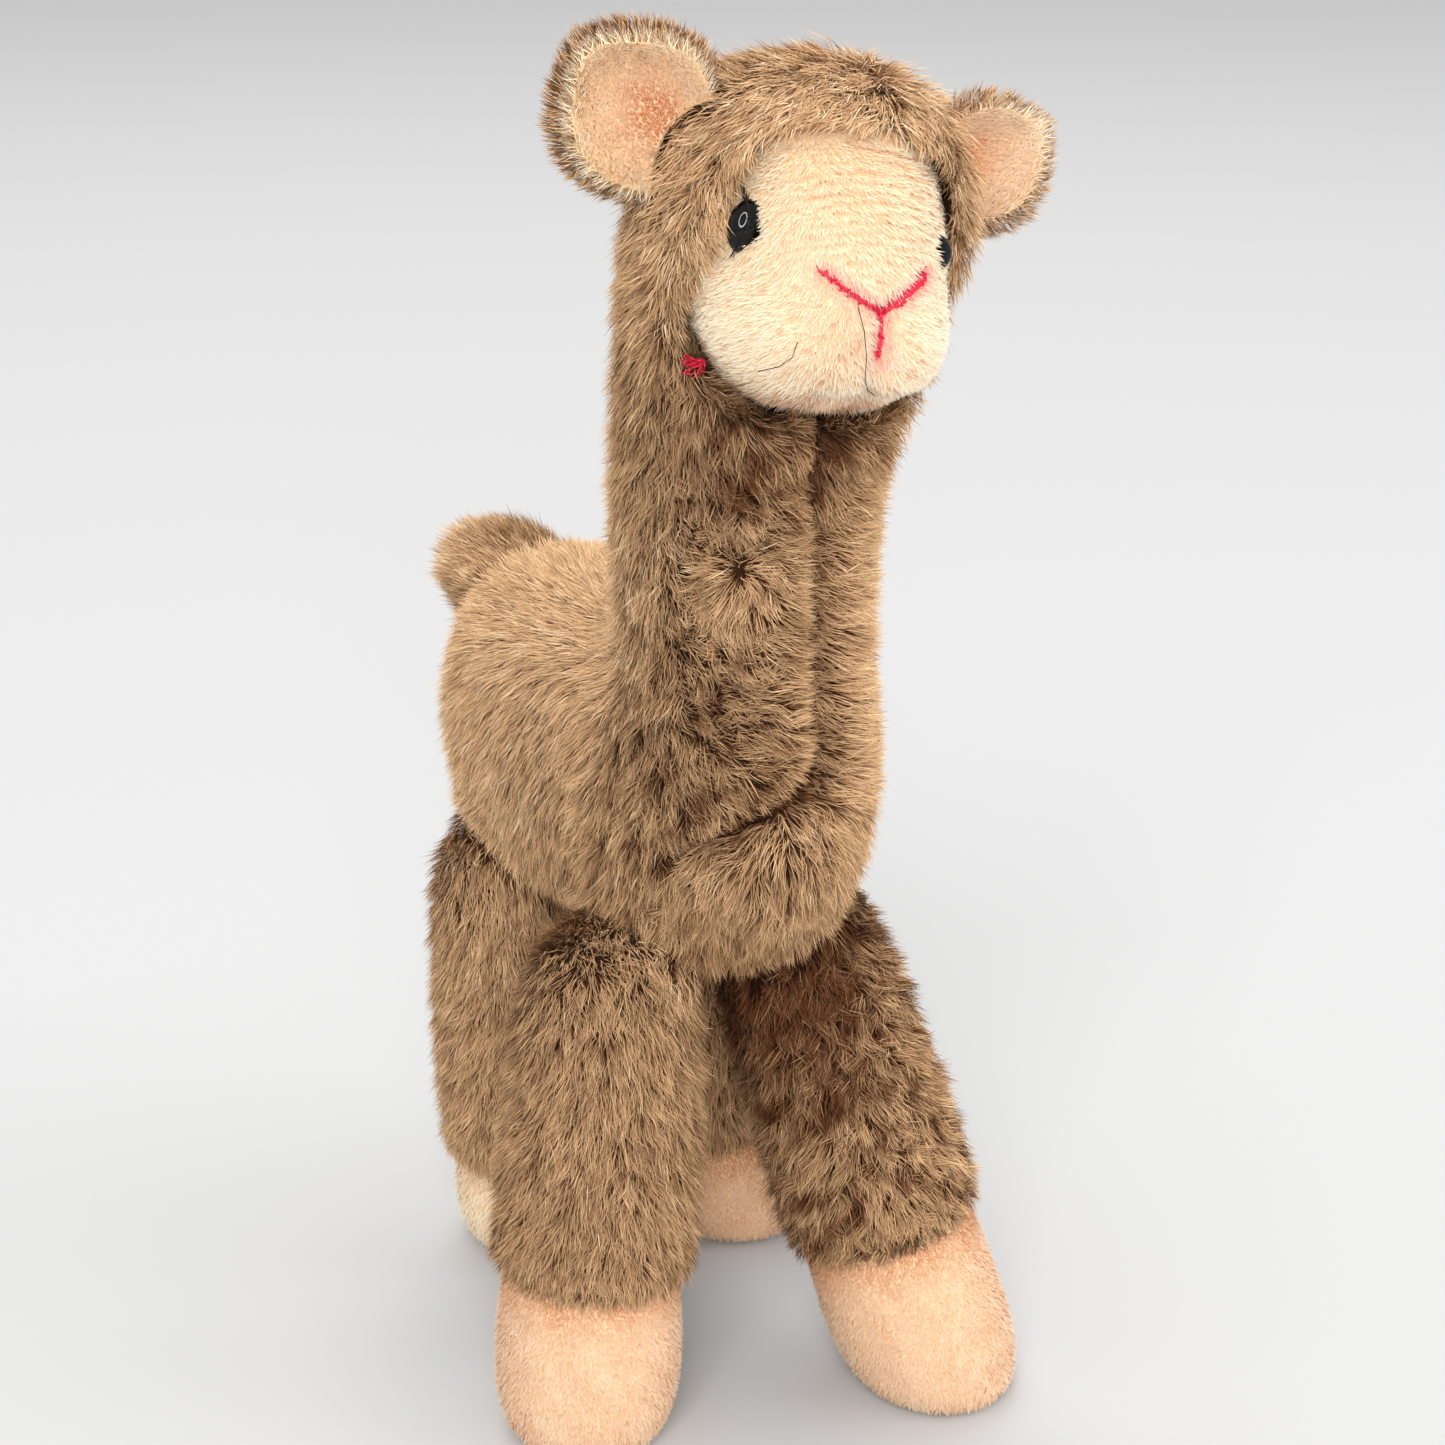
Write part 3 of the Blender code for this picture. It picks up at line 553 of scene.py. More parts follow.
def bibRoof(place):
    # height above the fold that closes the tuft at the foot of the neck seam
    x, z = place[:, 0] - bib["peak"][0], place[:, 2] - bib["peak"][1]
    return z - np.where(x < 0, bib["slopes"][0], bib["slopes"][1]) * x


def bibFold(place):
    # 1 along the fold's deep right-hand part, on the front of the chest
    along = band(place[:, 0], *bib["left"], -2.0, 3.0)
    return bell(bibRoof(place) - 0.8, 1.7) * along * (place[:, 1] < bib["front"])


def bodyNap(points, normals):
    # which way the pile lies: down the flanks, across the chest, round a whorl and over the hood
    place = points - patternOrigin
    x, y, z = place.T
    across = seamSide(points)[0]
    flank = columns(np.sign(x) * 0.1, (y - 72.0) / 60.0 + 1.6 * ease(normals[:, 2], 0.2, 0.8), -1.0)
    front = ease(x, -28.0, -16.0)
    throat = ease(z, 208.0, 234.0)
    rightward = front * (1.0 - 0.65 * throat)
    level = 0.95 * (1 - throat) * (0.35 + 0.65 * ease(z, 146.0, 164.0))
    backward = 1.8 * ease(y, 16.0, 34.0)
    neckLay = columns(rightward, backward - 0.15 - 0.25 * (1 - front), -1.0 + level * front)
    beyond = columns(1.0 - 0.4 * throat, 0.0, -0.2 - 0.7 * throat)
    neckLay = mix(neckLay, beyond, ease(across, -0.5, 0.5))
    fan = columns(0.015 * (x + 4.0), 0.1, -1.0)
    roof = bibRoof(place)
    neckLay = mix(fan, unit(neckLay), np.maximum(ease(roof, -1.0, 1.5), 1 - ease(x, -24.0, -18.0)))
    rise = bell(roof - 3.0, 3.6) * band(x, -25.0, -19.0, -6.0, 1.0)
    neckLay = mix(unit(neckLay), row(0.8, -0.1, 0.62), rise)
    lay = mix(neckLay, unit(flank), ease(y, 18.0, 42.0))
    spoke = place - whorl["centre"]
    swirl = spoke + 0.7 * np.cross(spoke, row(0.0, -1.0, 0.0))
    far = np.linalg.norm(spoke, axis=1)
    lay = mix(unit(lay), unit(swirl), np.exp(-(far / whorl["reach"]) ** 3) * ease(far, 0.8, 5.0))
    x, y, z = toHead(points).T
    crown = mix(row(-1.0, 0.05, -0.45), row(1.0, 0.1, -0.6), ease(x, 3.0, 9.0))
    crown = mix(crown, row(0.0, 1.0, -0.4), ease(y, 2.0, 24.0))
    cheeks = columns(np.sign(x) * 0.3, 0.3, -0.9)
    hood = mix(unit(crown), unit(cheeks), (1 - ease(z, 12.0, 24.0)) * ease(np.abs(x), 8.0, 18.0)) @ headSpin.T
    return mix(unit(lay), hood, ease(place[:, 2], 240.0, 256.0))


def aboveFloor(points):
    return points[:, 2] > 0


def brownPile(label, skin, weight, base, tone, ruffle, regions, look, seed, shape):
    # grows the pile of one skin, with a piece for each region
    roots, normals = scatter(skin.data, look["perSquare"], seed, weight)
    traits = plushTraits(roots, tone, ruffle, look.get("hold", 0.25))
    lay = shape(roots, normals, flatten(base(roots, normals), normals), traits)
    for index, (name, inside) in enumerate(regions):
        chosen = inside(roots)
        share = {key: value[chosen] for key, value in traits.items()}
        growPile(name, roots[chosen], normals[chosen], lay[chosen], look, share, seed * 10 + index)
    print(label, "strands:", len(roots))


# a painted shadow along a lock of pile at the front of the hood
lock = {"ends": ((9.0, -20.5, 296.0), (27.0, -23.5, 286.0)), "shade": 0.55, "reach": 1.7}


def lineDistance(places, start, end):
    start, end = np.array(start), np.array(end)
    share = np.clip((places - start) @ (end - start) / ((end - start) @ (end - start)), 0.0, 1.0)
    return np.linalg.norm(places - start - share[:, None] * (end - start), axis=1)


def faceLap(local):
    # how far the pile laps over the face: most at the brow and beside the right eye
    height = local[:, 2]
    return np.maximum(np.maximum(ease(height, 10.0, 18.0), bell(height - 1.0, 7.0)), 0.6)


def shapeBody(roots, normals, lay, traits):
    # shorter towards the seams, parted along the neck seam, and brushed over the face's edge
    jointAway = nearestOn(roots, [n for n in nodes if n.startswith(("leg_", "ear_", "tail"))])[0]
    faceAway, toFace = nearestOn(roots, ["face"])
    across, seamAway = seamSide(roots)
    local = toHead(roots)
    place = roots - patternOrigin
    x, y, z = place.T
    length, tone = traits["length"], traits["tone"]
    length *= 0.65 + 0.35 * ease(jointAway, 1.0, 7.0)
    right = across < 0
    length *= np.where(right, 0.3 + 0.7 * ease(seamAway, 0.8, 7.0), 0.55 + 0.45 * ease(seamAway, 0.8, 4.0))
    length *= np.where(seamAway < seam["bare"], 0.5, 1.0)
    # painted shade along the seam's groove, stronger on the llama's left side
    tone -= np.where(right, *seam["shade"]) * bell(seamAway, seam["shadeReach"])
    # painted shadow along the lock
    tone -= lock["shade"] * bell(lineDistance(place, *lock["ends"]), lock["reach"])
    lap = faceLap(local)
    rim = 1 - ease(faceAway, 1.5, 6.5)
    length *= 1 - rim * (0.45 - 0.35 * lap)
    # paler where the pile laps over the face: painted light against the shade at the face's rim
    tone += 0.12 * rim * lap
    # the fold over the tuft: painted shade above it, painted light just below, and short where it presses
    roof = bibRoof(place)
    ahead = y < bib["front"]
    fold = band(x, *bib["left"], -1.0, 4.0) * ahead
    tone -= bib["shade"] * fold * band(roof, -1.6, 0.0, 1.5, 6.0)
    tone += 0.1 * fold * band(roof, -9.0, -3.0, -2.4, -1.2)
    above = band(roof, -0.5, 0.5, 3.0, 11.0) * ahead
    length *= 1 - bib["shorter"] * above * band(x, -24.0, -18.0, -2.0, 4.0)
    spoke = np.linalg.norm(place - whorl["centre"], axis=1)
    traits["lean"] = 0.6 + 0.4 * ease(spoke, 2.0, 12.0) + 0.25 * rim * lap + 0.15 * ease(z, 276.0, 286.0)
    traits["stir"] = whorl["stir"] * bell(spoke, 4.0)
    # paler at the whorl's centre: painted light over the shade where the strands part
    tone += 0.12 * bell(spoke, 5.5) + 0.3 * bell(spoke, 1.8)
    radial = unit(roots - headCentre)
    normals[:] = unit(mix(normals, radial, rim * 0.8))
    hold = 0.95 - 0.4 * ease(local[:, 2], 12.0, 18.0) * (1 - ease(local[:, 0], 6.0, 14.0))
    hold = np.minimum(rim * 1.5 * lap, hold)
    return flatten(mix(lay, unit(toFace + row(0.0, 0.0, -0.2)), hold), normals)


def sculptBody(places, normals):
    # the neck seam pulls the cloth in, and the tuft below it stands out under a fold
    place = places - patternOrigin
    x, _, z = (place - bib["centre"]).T
    out = bib["swell"] * ease(1 - np.hypot(x / bib["wide"], z / bib["high"]), 0.0, 0.7) * (place[:, 1] < 8)
    groove = seam["groove"] * bell(seamSide(places)[1], seam["grooveReach"])
    return places + normals * (out - bib["fold"] * bibFold(place) - groove)[:, None]


bodyCloth = {"voxel": 1.8, "rounds": 5, "depth": 4.0, "hold": 8.0, "fill": 0.9}
bodyNeighbours = [n for n in nodes if n.startswith(("leg_", "ear_", "tail", "face"))]
bodySkin, bodyOpen = makeSkin("bodyBacking", "body", plushBacking, bodyCloth,
                              bodyNeighbours, sculptBody)
spoke = np.linalg.norm(meshArrays(bodySkin.data)[0] - patternOrigin - whorl["centre"], axis=1)
bodyOpen = bodyOpen * (1 + whorl["denser"] * bell(spoke, 5.0))
shoulder = patternOrigin[1] + 40.0


def hoodEdge():
    # the cloth's edge is too thin for its even mesh, so its pile is rooted on the solid
    mesh = nodes["body"].data
    places, normals, _ = meshArrays(mesh)
    faceAway = nearestOn(places, ["face"])[0]
    radial = (unit(places - headCentre) * normals).sum(axis=1)
    roots, normals = scatter(mesh, 6.0, 3, (1 - ease(faceAway, 3.5, 7.0)) * ease(radial, 0.05, 0.35))
    traits = plushTraits(roots, 0.6, 0.4)
    lay = shapeBody(roots, normals, flatten(bodyNap(roots, normals), normals), traits)
    roots = roots - normals * 0.6
    growPile("hoodEdgePlush", roots, normals, lay, plush, traits, 4)
    print("hood edge strands:", len(roots))


hoodEdge()
brownPile("body", bodySkin, bodyOpen, bodyNap, 0.62, 0.45, (
    ("hoodPlush", lambda p: p[:, 2] > 242),
    ("neckPlush", lambda p: (p[:, 2] <= 242) & (p[:, 2] > 170) & (p[:, 1] < shoulder)),
    ("chestPlush", lambda p: (p[:, 2] <= 170) & (p[:, 1] < shoulder)),
    ("trunkRightPlush", lambda p: (p[:, 2] <= 242) & (p[:, 1] >= shoulder) & (p[:, 0] < 0)),
    ("trunkLeftPlush", lambda p: (p[:, 2] <= 242) & (p[:, 1] >= shoulder) & (p[:, 0] >= 0)),
), plush, 1, shapeBody)

# The legs and the tail

# the last number of each leg is painted shade on its inner side
legs = {
    "front_right": {"hip": (-26.5, 19.0), "sole": (-41.0, 11.0),
                    "ruffle": 0.5, "fan": 0.35, "tone": 0.44, "innerShade": 0.0},
    "front_left": {"hip": (14.0, 21.0), "sole": (40.0, -11.5),
                   "ruffle": 0.95, "fan": 0.7, "tone": 0.54, "innerShade": 0.66},
    "rear_right": {"hip": (-21.0, 90.0), "sole": (-14.0, 93.0),
                   "ruffle": 0.5, "fan": 0.3, "tone": 0.56, "innerShade": 0.2},
    "rear_left": {"hip": (21.0, 88.0), "sole": (34.0, 78.0),
                  "ruffle": 0.5, "fan": 0.3, "tone": 0.5, "innerShade": 0.2},
}
hipHeight = 120.0


def legAxis(settings):
    hip = row(*settings["hip"], hipHeight) + patternOrigin
    sole = row(*settings["sole"], 0.0) + patternOrigin
    return hip, unit(sole - hip)


legCloth = {"voxel": 2.0, "rounds": 5, "depth": 3.8, "hold": 8.0, "fill": 0.85}
sleevePile = dict(plush, hold=20.0)


def growLeg(label, settings, seed):
    leg, hoof = "leg_" + label, "hoof_" + label
    title = label.title().replace("_", "")
    hip, axis = legAxis(settings)

    def nap(points, normals):
        spoke = points - hip
        spoke = spoke - (spoke @ axis)[:, None] * axis
        high = ease(points[:, 2], 84.0, 104.0)
        lay = axis + spoke * row(1.0, 0.3, 0.0) * (settings["fan"] / 20.0 * (1 - high))[:, None]
        lay = lay + row(-0.15, -0.25, 0.0) * high[:, None]
        cap = ease(-(normals @ axis), 0.0, 0.6)
        return mix(unit(lay), row(-0.2, -1.0, -0.5), cap)

    def shape(roots, normals, lay, traits):
        hoofAway = nearestOn(roots, [hoof])[0]
        bodyAway = nearestOn(roots, ["body"])[0]
        traits["length"] *= 0.64 + 0.36 * ease(hoofAway, 1.0, 10.0)
        traits["length"] *= 0.65 + 0.35 * ease(bodyAway, 1.0, 7.0)
        inner = ease(-np.sign(settings["sole"][0]) * (roots[:, 0] - (hip + axis * 60)[0]), -4.0, 14.0)
        high = ease(roots[:, 2], 55.0, 112.0)
        # painted light near the body on the front right leg's top, and painted shade on each leg's inner
        # side, strongest high up under the trunk
        traits["tone"] += 0.2 * (1 - ease(bodyAway, 3.0, 16.0)) * (settings["innerShade"] < 0.1)
        traits["tone"] -= settings["innerShade"] * (0.1 + 0.9 * inner) * (0.2 + 0.8 * high)
        return lay

    skin, weight = makeSkin("leg" + title + "Backing", leg, plushBacking, legCloth,
                            ["body", hoof])
    brownPile(leg, skin, weight, nap, settings["tone"], settings["ruffle"],
              (("leg" + title + "Plush", aboveFloor),), sleevePile, seed, shape)


for index, (label, settings) in enumerate(legs.items()):
    growLeg(label, settings, 20 + index)

tailCloth = {"voxel": 1.5, "rounds": 4, "depth": 3.2, "hold": 6.0, "fill": 0.8}
tailSkin, tailOpen = makeSkin("tailBacking", "tail", plushBacking, tailCloth, ["body"])
tailWay = unit(row(-0.5, 0.6, 0.25))


def tailNap(points, normals):
    return np.tile(tailWay, (len(points), 1))


def shapeTail(roots, normals, lay, traits):
    # the pile stands out where the lobe ends
    traits["lean"] = 1 - 0.75 * ease(normals @ tailWay, 0.45, 0.9)
    # paler where the lobe ends: painted light against the shade of the roots seen end on
    traits["tone"] += 0.3 * ease(normals @ tailWay, 0.1, 0.7)
    return lay


brownPile("tail", tailSkin, tailOpen, tailNap, 0.34, 0.35, (("tailPlush", aboveFloor),), sleevePile, 31,
          shapeTail)

# The ears

ears = {
    "right": {"root": (-25.8, -7.0, 8.2), "lean": -46.0, "turn": -12.0, "roll": 6.0},
    "left": {"root": (26.4, 4.0, 5.2), "lean": 56.0, "turn": 12.0, "roll": -20.0},
}
earPile = dict(plush, low=0.55, length=4.8, lean=44.0, leads=0.09, hold=20.0, perSquare=4.6,
               strandTone=0.1, tuftTone=0.04)
earCloth = {"voxel": 0.9, "rounds": 4, "depth": 0.9, "hold": 3.0, "fill": 0.3}
liningCloth = dict(earCloth, depth=0.5)
liningPile = {"length": 2.3, "lean": 44.0, "width": 0.3, "stray": 0.45, "strandTone": 0.05, "own": 0.3,
              "perSquare": 6.5}


def growEar(side, settings, seed):
    spin = headSpin @ turns((settings["turn"], "Z"), (settings["lean"], "Y"), (settings["roll"], "Z"))
    place = fromHead(np.array(settings["root"]))
    back, lining = "ear_back_" + side, "ear_lining_" + side
    inward = 1 if side == "right" else -1
    title = "ear" + side.title()

    def nap(points, normals):
        local = (points - place) @ spin
        return columns(local[:, 0] * 0.09, 0.0, (local[:, 2] - 8.0) * 0.06 + 0.3) @ spin.T

    def shape(roots, normals, lay, traits):
        liningAway = nearestOn(roots, [lining])[0]
        traits["length"] *= 0.7 + 0.3 * ease(liningAway, 0.8, 3.0)
        return lay

    skin, weight = makeSkin(title + "Backing", back, earBacking, earCloth, ["body", lining])
    brownPile(back, skin, weight, nap, 0.62, 0.35, ((title + "Plush", aboveFloor),), earPile, seed, shape)
    cloth, weight = makeSkin(title + "Lining", lining, velourBacking, liningCloth,
                             ["body", back])
    roots, normals = scatter(cloth.data, liningPile["perSquare"], seed + 2, weight)
    local = (roots - place) @ spin
    lay = flatten(nap(roots, normals), normals)
    x, height = local[:, 0] * inward, local[:, 2]
    fold = np.exp(-((x - 3.0) ** 2 / 14.0 + (height - 12.0) ** 2 / 60.0))
    rosy = np.exp(-((x - 1.0) ** 2 / 70.0 + (height - 12.0) ** 2 / 130.0))
    edge = ease(np.hypot(local[:, 0], height - 16.0), 9.0, 14.0)
    # paler at the rim, painted light against the shade of the rim, where the fibres also grow longer; darker
    # in the fold, painted shade
    tone = 0.66 + 0.2 * edge - 0.4 * rosy - 0.4 * fold + 0.05 * ripple(roots, 5.0, 7)
    tone = np.clip(tone, 0.05, 0.88)
    growVelour(title + "Velour", roots, normals, lay, liningPile, tone, seed + 3, 0.8 + 0.6 * edge)


for side, settings in ears.items():
    growEar(side, settings, 40 if side == "right" else 50)

# The face

facePile = {"length": 1.7, "lean": 50.0, "width": 0.31, "stray": 0.35, "strandTone": 0.07, "own": 0.3,
            "perSquare": 6.8, "rowStep": 1.75}
noseLine = {"left": (-7.8, -2.9), "middle": (5.3, -9.2), "right": (13.8, -2.0), "mouth": (5.6, -17.8)}
muzzle = {"lobes": (-11.0, 15.5), "lobeHeight": -17.0, "swell": 1.9, "cleft": 2.4, "fold": -27.5,
          "crease": 1.6}


def nosePaths():
    # the two arms of the nose and the line of the mouth, in the head's width and height
    ends = {title: np.array(place) for title, place in noseLine.items()}
    shares = np.linspace(0, 1, 25)[:, None]
    left = ends["left"] + (ends["middle"] - ends["left"]) * shares
    left = left + row(0.0, -0.5) * np.sin(shares * math.pi)
    right = ends["middle"] + (ends["right"] - ends["middle"]) * shares
    mouth = ends["middle"] + (ends["mouth"] - ends["middle"]) * shares
    return left, right, mouth


def pathDistance(local, path):
    return np.sqrt(((local[:, [0, 2]][:, None] - path[None]) ** 2).sum(-1)).min(axis=1)


eye = {"turn": 70.0, "tilt": 0.12, "dome": 4.0, "rings": 14, "steps": 48, "seat": 7.4,
       "right": {"half": (3.2, 5.3), "sunk": 0.2, "shift": (-1.6, 0.3)},
       "left": {"half": (2.7, 3.8), "sunk": 1.3, "shift": (0.2, -1.2)}}


def eyeFrame(side):
    # the top of the moulded dome, the way it faces, and its height and width directions
    turn = math.radians(eye["turn"])
    outward = row(math.sin(turn) * (-1 if side == "right" else 1), -math.cos(turn), eye["tilt"])
    outward = headSpin @ unit(outward)
    up = headSpin @ row(0.0, 0.0, 1.0)
    up = unit(up - outward * (up @ outward))
    places = meshArrays(nodes["eye_" + side].data)[0]
    return places[np.argmax(places @ outward)], outward, up, np.cross(up, outward)


def closeSeats(places, normals):
    # the cloth runs on under the eyes, level with the cheek round each seat
    for side in ("right", "left"):
        pole, outward, up, across = eyeFrame(side)
        offset = places - pole
        height, u, v = offset @ outward, offset @ across, offset @ up
        reach = np.hypot(u, v)
        terms = columns(1.0, u, v, u * u, v * v, u * v)
        outer = (reach > eye["seat"]) & (reach < eye["seat"] + 3.0)
        outer = outer & (height > -8.0) & (normals @ outward > 0.6)
        fit = np.linalg.lstsq(terms[outer], height[outer], rcond=None)[0]
        share = (1 - ease(reach, eye["seat"] - 0.8, eye["seat"] + 0.2)) * (height > -12.0)
        places = places + outward * ((terms @ fit - height) * share)[:, None]
        print("cheek under the", side, "eye, from its top:", round(float(fit[0]), 1), "mm")
    return places


def sculptFace(places, normals):
    # closed eye seats, two full cheeks drawn in along the stitches, and a fold above the chin
    places = closeSeats(places, normals)
    local = toHead(places)
    front = ease(-local[:, 1], 18.0, 30.0)
    left, right, mouth = nosePaths()
    arms = np.concatenate((left, right))
    cleft = np.concatenate((mouth, mouth[-1] + (mouth[-1] - mouth[0]) * np.linspace(0, 1.2, 12)[:, None]))
    push = -muzzle["cleft"] * bell(pathDistance(local, cleft), 2.6)
    push -= bell(pathDistance(local, arms), 1.8)
    for x in muzzle["lobes"]:
        squared = (local[:, 0] - x) ** 2 + (local[:, 2] - muzzle["lobeHeight"]) ** 2
        push += muzzle["swell"] * np.exp(-squared / 72.0)
    fold = local[:, 2] - muzzle["fold"] - 0.01 * (local[:, 0] - 4) ** 2
    push -= muzzle["crease"] * bell(fold, 1.8) * ease(-np.abs(local[:, 0] - 6), -14.0, -7.0)
    return places + normals * (push * front)[:, None]


faceCloth = {"voxel": 1.0, "rounds": 6, "depth": 1.0, "hold": 3.0, "fill": 0.95}
faceSkin, faceOpen = makeSkin("faceBacking", "face", velourBacking, faceCloth, ["body"],
                              sculptFace)


def growFace():
    roots, normals = scatter(faceSkin.data, facePile["perSquare"], 70, faceOpen)
    local = toHead(roots)
    x, height = local[:, 0] - 3.0, local[:, 2]
    cheek = ease(-height, 2.0, 12.0)
    lay = flatten(columns(0.35 + x * (0.02 + 0.09 * cheek), 0.0, -1.0) @ headSpin.T, normals)
    # knitted rows across the brow, which wander and fade towards the cheeks
    rows = height + 0.012 * x ** 2 + 0.4 * ripple(roots, 7.0, 5) + 0.22 * ripple(roots, 2.6, 6)
    furrow = (0.5 + 0.5 * np.cos(rows * 2 * math.pi / facePile["rowStep"])) ** 4
    furrow = furrow * np.clip(0.7 + 0.6 * ripple(roots, 3.5, 12), 0, 1)
    brow = ease(height, -16.0, 2.0) * (1 - 0.7 * ease(np.abs(x + 1), 10.0, 20.0))
    dashes = ease(ripple(roots * row(1.0, 1.0, 2.2), 3.2, 13), 0.35, 0.8) * (1 - brow)
    tone = 0.88 - 0.62 * furrow * brow - 0.4 * dashes
    tone += 0.05 * ripple(roots, 9.0, 8) + 0.03 * ripple(roots, 2.0, 9)
    tone += 0.1 * ease(np.abs(x), 10.0, 20.0)
    tone -= 0.2 * np.exp(-((x + 2) ** 2 / 110 + (height + 15) ** 2 / 110))
    tone -= 0.05 * ease(height, 0.0, 12.0) + 0.4 * ease(-height, 25.0, 29.0)
    left, right, mouth = nosePaths()
    stitchAway = np.minimum(pathDistance(local, left), pathDistance(local, mouth))
    rightAway = pathDistance(local, right)
    rng = np.random.default_rng(71)
    pink = np.maximum(bell(stitchAway, 1.1) * 0.8, bell(rightAway, 1.5))
    stitchAway = np.minimum(stitchAway, rightAway)
    pink = np.maximum(pink, 0.5 * bell(stitchAway, 3.4)) * (local[:, 1] < -20)
    dyed = pink + rng.normal(0, 0.08, len(roots)) > 0.16
    blush = 0.9 + 0.1 * np.clip(pink + rng.normal(0, 0.1, len(roots)), 0, 1)
    tone = np.where(dyed, blush, np.clip(tone, 0.05, 0.88))
    share = (1 - 0.5 * furrow * brow - 0.3 * dashes) * np.where(stitchAway < 0.9, 0.6, 1.0)
    growVelour("faceVelour", roots, normals, lay, facePile, tone, 72, share)
    print("face strands:", len(roots))


growFace()

# The hooves

hoofPile = {"length": 1.7, "lean": 54.0, "width": 0.31, "stray": 0.5, "strandTone": 0.05, "own": 0.3,
            "perSquare": 5.0, "rowStep": 1.9, "lowest": 1.0}
hoofCloth = {"voxel": 1.5, "rounds": 5, "depth": 0.9, "hold": 3.0, "fill": 0.9}
# one velour on all four hooves, its tone set for each as it is lit: painted light on the rear right hoof
hoofTonesAndLight = {"front_right": 0.52, "front_left": 0.52, "rear_right": 0.88, "rear_left": 0.45}


def growHoof(label, tone, seed):
    title = "hoof" + label.title().replace("_", "")
    skin, weight = makeSkin(title + "Backing", "hoof_" + label, velourBacking, hoofCloth,
                            ["leg_" + label])
    roots, normals = scatter(skin.data, hoofPile["perSquare"], seed, weight)
    standing = roots[:, 2] > hoofPile["lowest"]
    roots, normals = roots[standing], normals[standing]
    legAway = nearestOn(roots, ["leg_" + label])[0]
    lay = flatten(np.tile(row(0.05, -0.1, -1.0), (len(roots), 1)), normals)
    rows = roots[:, 2] + 0.5 * ripple(roots, 6.0, seed + 1)
    furrow = (0.5 + 0.5 * np.cos(rows * 2 * math.pi / hoofPile["rowStep"])) ** 3
    shade = tone - 0.1 * furrow + 0.07 * ripple(roots, 10.0, 16) + 0.05 * ripple(roots, 2.0, 17)
    # darker near the leg: painted shade under the leg's pile
    shade = np.clip(shade - 0.3 * (1 - ease(legAway, 1.0, 12.0)), 0.05, 0.88)
    growVelour(title + "Velour", roots, normals, lay, hoofPile, shade, seed + 5, 1 - 0.15 * furrow)


for index, (label, tone) in enumerate(hoofTonesAndLight.items()):
    growHoof(label, tone, 80 + 10 * index)
print("hooves made")

# Eyes, washers and thread

def plainMaterial(name, base, roughness, specular=0.5):
    material, tree, shader = newMaterial(name, {"Specular IOR Level": specular})
    wear = grainOf(tree, 700.0, 2.0)
    darker = tuple(v * 0.75 for v in base[:3]) + (1.0,)
    worn = rangeOf(tree, wear, 0.3, 0.7, roughness * 0.8, roughness * 1.2)
    setInputs(shader, {"Base Color": mixColours(tree, wear, darker, base), "Roughness": worn})
    return material


eyePlastic = plainMaterial("eyePlastic", colour(9, 7, 7), 0.05, 0.25)
washerPlastic = plainMaterial("washerPlastic", colour(216, 216, 210), 0.4)
pinkThread = plainMaterial("pinkThread", colour(222, 26, 66), 0.5, 0.3)
darkHair = plainMaterial("darkHair", colour(38, 26, 20), 0.5, 0.3)


def makeEye(side):
    # a polished dome in the moulded one's place, as narrow as the photo shows it
    own = eye[side]
    pole, outward, up, across = eyeFrame(side)
    pole = pole + across * own["shift"][0] + up * own["shift"][1]
    mesh = bpy.data.meshes.new("eyeDome")
    rings = eye["rings"]
    points, faces = [pole], []
    base = pole - outward * eye["dome"]
    for ring in range(1, rings + 1):
        angle = math.pi * 0.56 * ring / rings
        for step in range(eye["steps"]):
            turn = 2 * math.pi * step / eye["steps"]
            rim = across * math.cos(turn) * own["half"][0] + up * math.sin(turn) * own["half"][1]
            points.append(base + outward * eye["dome"] * math.cos(angle) + rim * math.sin(angle))
    for step in range(eye["steps"]):
        after = (step + 1) % eye["steps"]
        faces.append((0, 1 + step, 1 + after))
        for ring in range(rings - 1):
            low = 1 + ring * eye["steps"]
            high = low + eye["steps"]
            faces.append((low + step, high + step, high + after, low + after))
    faces.append([1 + (rings - 1) * eye["steps"] + step for step in reversed(range(eye["steps"]))])
    mesh.from_pydata([tuple((p - outward * own["sunk"]) * mm) for p in points], [], faces)
    mesh.shade_smooth()
    mesh.materials.append(eyePlastic)
    addPiece(addObject("eye" + side.title() + "Dome", mesh), ["eye_" + side])
    nodes["eye_washer_" + side].material_slots[0].material = washerPlastic
    return pole, outward, up, across


eyePlaces = {side: makeEye(side) for side in ("right", "left")}


def threadCurve(name, lines, radius, material):
    curve = bpy.data.curves.new(name, "CURVE")
    curve.dimensions = "3D"
    curve.bevel_depth = radius * mm
    curve.bevel_resolution = 1
    curve.use_fill_caps = True
    for line in lines:
        spline = curve.splines.new("POLY")
        spline.points.add(len(line) - 1)
        for target, point in zip(spline.points, line):
            target.co = (*(point * mm), 1.0)
    curve.materials.append(material)
    return addObject(name, curve)


faceTree = treeOf([faceSkin.data])


def onFace(x, z, lift):
    start = fromHead(row(x, -120.0, z))
    hit, normal, _, _ = faceTree.ray_cast(Vector(start), Vector(headSpin @ row(0.0, 1.0, 0.0)))
    return np.array(hit) + np.array(normal) * lift


